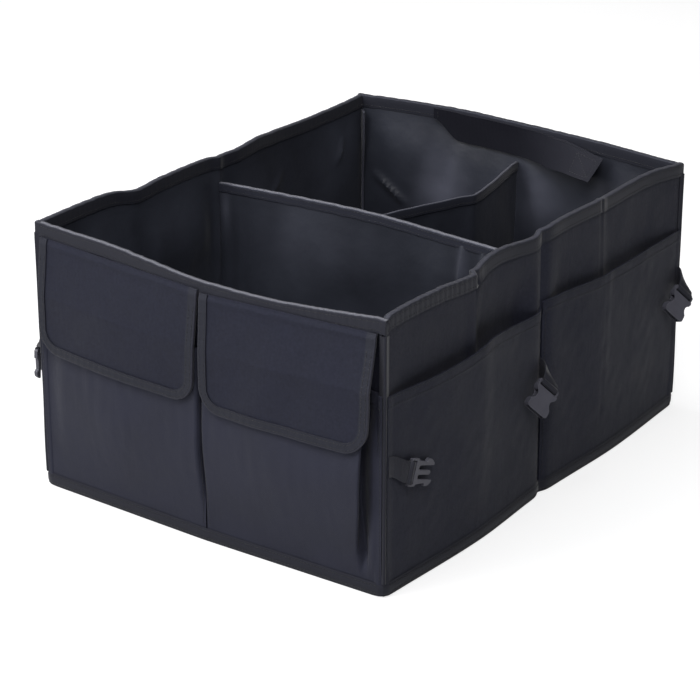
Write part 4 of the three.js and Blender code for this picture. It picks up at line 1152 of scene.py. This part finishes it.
def make_side_pocket(side, wall, end, y):
    low, high = sorted((y * SIDE_SEAM, y * SIDE_TO))
    hem = 11.0

    def top(s):
        return SIDE_POCKET_TOP + side_rim(s / wall.half)

    def place(s, row, w):
        z = mix(WALL_BASE, top(s), row)
        band = 0.55 * smooth((z - (top(s) - hem)) / 0.9)
        pucker = 0.3 * np.exp(-(np.abs(s) - SIDE_SEAM) / 9.0) * np.sin(2 * math.pi * z / 9.0)
        return wall.at(s, z, side_pocket_out(s, z) + w * (CLOTH_T + band) + np.maximum(pucker, 0) * w)

    def chart(s, row):
        return s, mix(WALL_BASE, top(s), row)

    rows = np.unique(np.concatenate([steps(0, 1, 1 / 56), [0.941, 0.946]]))
    piece = shell(f"{side}_side_pocket_{end}_cloth", steps(low, high, 3.2), rows, place, CLOTH, chart)
    dress(piece, "box", "cloth", f"{side}_side_pocket_{end}")
    s = steps(low + 4, high - 4, 2.0)
    for depth in (2.0, hem - 2.0):
        z = top(s) - depth
        stitch_wall("box", wall, s, z, side_pocket_out(s, z) + CLOTH_T + 0.6)
    z = steps(WALL_BASE + 14, SIDE_POCKET_TOP - 6, 2.0)
    seam = y * (SIDE_SEAM + 3.0)
    stitch_wall("box", wall, seam, z, side_pocket_out(seam, z) + CLOTH_T + 0.1)


# Webbing, buckles and the carry strap

def make_webbing():
    for side, x in (("left", -1), ("right", 1)):
        for end in ("front", "middle", "rear"):
            make_tab(side, x, end)


def make_tab(side, x, end):
    """A webbing tab: its ribbon, its loop round the bar of its half buckle, and its stitches."""
    joint = next(j for j in frame["joints"] if j["name"] == f"{side}_{end}_buckle_hinge")
    centre = np.array(joint["pos_m"]) / MM
    bar = np.array(joint["axis"], float)
    length, root_z = WEBBINGS[side, end]
    along = np.array(length) * [x, 1, 1]
    along = along - bar * (along @ bar)
    along /= np.linalg.norm(along)
    line = tab_line(side, end, x, root_z, centre - along * (EYE_IN + EYE_OUT) / 2, along)
    wide, thick = tab_directions(line, bar)
    name = f"{side}_{end}_webbing"
    make_ribbon(name, line, wide, thick)
    make_eye(name + "_loop", centre, along, bar)
    sew_tab(line, wide, thick)


def tab_line(side, end, x, root_z, tip, along):
    """The middle line of a tab, from the seam that holds it to the loop on the bar."""
    rearwards = (side, end) == ("right", "front")
    out = TAPE_OUT + 2 * GAP + TAB_T / 2 if rearwards else TAPE_OUT + GAP
    at_s = {"front": -(LENGTH / 2 - TAB_INSET), "middle": 0.0, "rear": LENGTH / 2 - TAB_INSET}[end]
    root = SIDES[side].at(at_s, root_z, out)
    away = np.array([0.0, 1.0, 0.0]) if rearwards else np.array([float(x), 0.0, 0.0])
    reach = np.linalg.norm(tip - root) / 3
    p1, p2 = root + away * reach, tip - along * reach
    t = np.linspace(0, 1, TAB_POINTS)[:, None]
    return root * (1 - t) ** 3 + 3 * p1 * t * (1 - t) ** 2 + 3 * p2 * t * t * (1 - t) + tip * t ** 3


def tab_directions(line, bar):
    """The ways across a tab's width and thickness, turning from upright to the bar's own."""
    upright = np.array([0.0, 0.0, -1.0 if bar[2] < 0 else 1.0])
    blend = smooth(np.linspace(0, 1, TAB_POINTS)[:, None])
    wide = upright * (1 - blend) + bar * blend
    wide /= np.linalg.norm(wide, axis=1, keepdims=True)
    thick = np.cross(wide, np.gradient(line, axis=0))
    return wide, thick / np.linalg.norm(thick, axis=1, keepdims=True)


def make_ribbon(name, line, wide, thick):
    corners = ((-1, -1, 0.5), (-0.94, -1, 1), (0.94, -1, 1), (1, -1, 0.5), (1, 1, 0.5), (0.94, 1, 1),
               (-0.94, 1, 1), (-1, 1, 0.5))
    section = [(TAB_HALF * a, TAB_T / 2 * b * share) for a, b, share in corners]

    def place(a, b, i):
        k = np.rint(i).astype(int)
        return line[k] + wide[k] * a[..., None] + thick[k] * b[..., None]

    dress(run(name, section, np.arange(TAB_POINTS), place, WEBBING), "box", "tape", name + "_tab")


def make_eye(name, centre, along, bar):
    face = np.cross(bar, along)
    section = [(EYE_IN, -TAB_HALF), (EYE_OUT - 0.2, -TAB_HALF), (EYE_OUT, -TAB_HALF + 0.4),
               (EYE_OUT, TAB_HALF - 0.4), (EYE_OUT - 0.2, TAB_HALF), (EYE_IN, TAB_HALF)]

    def place(r, w, a):
        turn = np.cos(a)[..., None] * -along + np.sin(a)[..., None] * face
        return centre + turn * r[..., None] + bar * w[..., None]

    dress(run(name, section, np.linspace(0.12, 2 * math.pi - 0.12, 40), place, WEBBING), "box", "tape")


def sew_tab(line, wide, thick):
    w = np.linspace(-TAB_HALF + 2, TAB_HALF - 2, 12)
    for row in (22, 26):
        for sign in (1, -1):
            here = line[row] + wide[row] * w[:, None] + thick[row] * sign * TAB_T / 2
            stitch("box", here, np.tile(thick[row] * sign, (12, 1)), pitch=2.4, length=1.7, radius=0.22)


def dress_buckles():
    for side in SIDES:
        for end in ("front", "middle", "rear"):
            node = frame["nodes"][f"{side}_{end}_buckle"]
            for slot in node.material_slots:
                slot.material = PLASTIC
            weld = node.modifiers.new("Weld", "WELD")
            weld.merge_threshold = 0.00001
            flat = node.modifiers.new("Flat faces", "DECIMATE")
            flat.decimate_type = "DISSOLVE"
            flat.angle_limit = math.radians(1.0)
            bevel = node.modifiers.new("Moulded edges", "BEVEL")
            bevel.width = 0.00035
            bevel.segments = 2
            bevel.limit_method = "ANGLE"
            bevel.angle_limit = math.radians(28)
            bevel.use_clamp_overlap = True


# How far the carry strap's upper edge lies from the rim, and how far it stands off the wall
strap_top = wave([(-1, -2), (-0.6, -3), (0, -3), (0.5, -6), (1, -14)])
strap_off = wave([(-1, 0.6), (-0.3, 0.8), (0.3, 1), (0.7, 3), (1, 7)])


def on_strap(s, drop, w):
    """A point of the carry strap: it narrows to its left end, and hangs away from the wall at its right."""
    share = 2 * (s - STRAP_FROM) / (STRAP_TO - STRAP_FROM) - 1
    drop = drop * mix(0.36, 1.0, smooth((s - STRAP_FROM) / 32.0))
    tilt = 0.86 * smooth((s + 10.0) / 120.0)
    level, thick = np.sqrt(1 - tilt ** 2), STRAP_T * w
    hung = WALL_T + TAPE_OUT + GAP + strap_off(share) + STRAP_T + 0.5
    out = thick * level - hung - 0.4 * ripple(s, drop, 46.0, 141) - drop * tilt
    z = REAR.rim(s) + strap_top(share) - drop * level + 0.4 * ripple(s, 0.0, 40.0, 142) + thick * tilt
    return REAR.at(s, z, out)


def on_strap_end(s, drop, w):
    """A point of the layer that is turned back over the strap's right end."""
    lifted = on_strap(s, drop, 0.0).copy()
    lifted[..., 1] -= 0.1 + 1.4 * (1 - w)
    return lifted


def sew_strap(surface, s, drop):
    s, drop = np.broadcast_arrays(np.asarray(s, float), np.asarray(drop, float))
    stitch("box", surface(s, drop, 0.0), np.tile([0.0, -1.0, 0.0], (len(s), 1)))


def make_carry_strap():
    rows = [0, 0.4, 1.2, 4, 8, 12, 15, 18, 22, 26, 28.8, 29.6, STRAP_W]
    piece = shell("carry_strap_webbing", steps(STRAP_FROM, STRAP_TO, 1.6), rows, on_strap, STRAP)
    dress(piece, "box", "tape", "carry_strap")
    columns = steps(STRAP_TO - STRAP_END, STRAP_TO - 0.4, 1.6)
    layer = shell("carry_strap_end", columns, rows, on_strap_end, STRAP)
    dress(layer, "box", "tape")
    low, high, across = STRAP_TO - 30, STRAP_TO - 5, steps(4, STRAP_W - 4, 2)
    level = steps(low, high, 2)
    sew_strap(on_strap_end, level, 4.0)
    sew_strap(on_strap_end, level, STRAP_W - 4.0)
    sew_strap(on_strap_end, high, across)
    sew_strap(on_strap_end, low, across)
    sew_strap(on_strap_end, level, steps(4, STRAP_W - 4, 2 * (STRAP_W - 8) / (high - low)))
    sew_strap(on_strap, STRAP_FROM + 5, across)


# Camera, light and ground

AZIMUTH, ELEVATION, DISTANCE = math.radians(35.84), math.radians(22.74), 2.371
TARGET = Vector((-0.0252, 0.0, 0.0922))
LENS = 124.65


def make_camera():
    back = Vector((math.sin(AZIMUTH) * math.cos(ELEVATION), -math.cos(AZIMUTH) * math.cos(ELEVATION),
                   math.sin(ELEVATION)))
    right = Vector((math.cos(AZIMUTH), math.sin(AZIMUTH), 0.0))
    up = back.cross(right)
    camera = bpy.data.objects.new("camera", bpy.data.cameras.new("camera"))
    camera.data.lens = LENS
    camera.data.sensor_width = 36.0
    turned = Matrix((right, up, back)).transposed().to_4x4()
    camera.matrix_world = Matrix.Translation(TARGET + back * DISTANCE) @ turned
    bpy.context.scene.collection.objects.link(camera)
    bpy.context.scene.camera = camera


def lamp(name, place, aim, size, power):
    data = bpy.data.lights.new(name, "AREA")
    data.shape = "RECTANGLE"
    data.size, data.size_y = size
    data.energy = power
    lamp_object = bpy.data.objects.new(name, data)
    lamp_object.location = place
    lamp_object.rotation_euler = (Vector(aim) - Vector(place)).to_track_quat("-Z", "Y").to_euler()
    bpy.context.scene.collection.objects.link(lamp_object)


def seen_directly(nodes, links):
    """1 for what the camera sees, also through glass, and 0 for the light that the surface gives."""
    path = nodes.new("ShaderNodeLightPath")
    either = nodes.new("ShaderNodeMath")
    either.operation = "MAXIMUM"
    links.new(path.outputs["Is Camera Ray"], either.inputs[0])
    links.new(path.outputs["Is Transmission Ray"], either.inputs[1])
    return either.outputs[0]


def make_world():
    world = bpy.data.worlds.new("world")
    bpy.context.scene.world = world
    world.use_nodes = True
    nodes, links = world.node_tree.nodes, world.node_tree.links
    background = nodes["Background"]
    background.inputs["Color"].default_value = (1, 1, 1, 1)
    level = nodes.new("ShaderNodeMapRange")
    links.new(seen_directly(nodes, links), level.inputs[0])
    level.inputs[3].default_value = 0.03
    level.inputs[4].default_value = 1.0
    links.new(level.outputs[0], background.inputs["Strength"])


def make_ground():
    mesh = bpy.data.meshes.new("floor")
    reach, level = 6.0, -0.0004
    corners = [(x * reach, y * reach, level) for x, y in ((-1, -1), (1, -1), (1, 1), (-1, 1))]
    mesh.from_pydata(corners, [], [(0, 1, 2, 3)])
    material = bpy.data.materials.new("pale_floor")
    material.use_nodes = True
    nodes, links = material.node_tree.nodes, material.node_tree.links
    shader = nodes["Principled BSDF"]
    shader.inputs["Base Color"].default_value = (0.5, 0.5, 0.505, 1)
    shader.inputs["Roughness"].default_value = 0.9
    shader.inputs["Specular IOR Level"].default_value = 0.0
    shader.inputs["Emission Color"].default_value = (1, 1, 1, 1)
    glow = nodes.new("ShaderNodeMath")
    glow.operation = "MULTIPLY"
    links.new(seen_directly(nodes, links), glow.inputs[0])
    glow.inputs[1].default_value = 0.68
    links.new(glow.outputs[0], shader.inputs["Emission Strength"])
    mesh.materials.append(material)
    floor = bpy.data.objects.new("floor", mesh)
    bpy.context.scene.collection.objects.link(floor)


make_camera()
make_world()
make_ground()
lamp("top", (0.1, 0.7, 2.3), (0.0, 0.0, 0.1), (2.4, 1.6), 11.0)
lamp("high", (-0.5, -1.9, 2.6), (0.0, 0.0, 0.15), (1.5, 1.5), 35.0)
lamp("high_right", (1.3, -1.6, 2.5), (0.0, 0.0, 0.15), (1.2, 1.2), 38.0)
lamp("crest", (-1.5, 0.1, 2.4), (0.0, 0.0, 0.2), (0.8, 0.8), 30.0)
lamp("low", (-1.5, -2.6, 1.5), (0.0, -0.1, 0.1), (1.6, 1.6), 31.0)
bpy.context.scene.view_settings.view_transform = "Standard"

make_floor()
make_walls()
make_rim_tapes()
make_base_tapes()
make_corner_tapes()
make_middle_divider()
make_soft_divider()
make_front_pockets()
make_flaps()
make_side_pockets()
make_webbing()
dress_buckles()
make_carry_strap()
sew(THREAD)
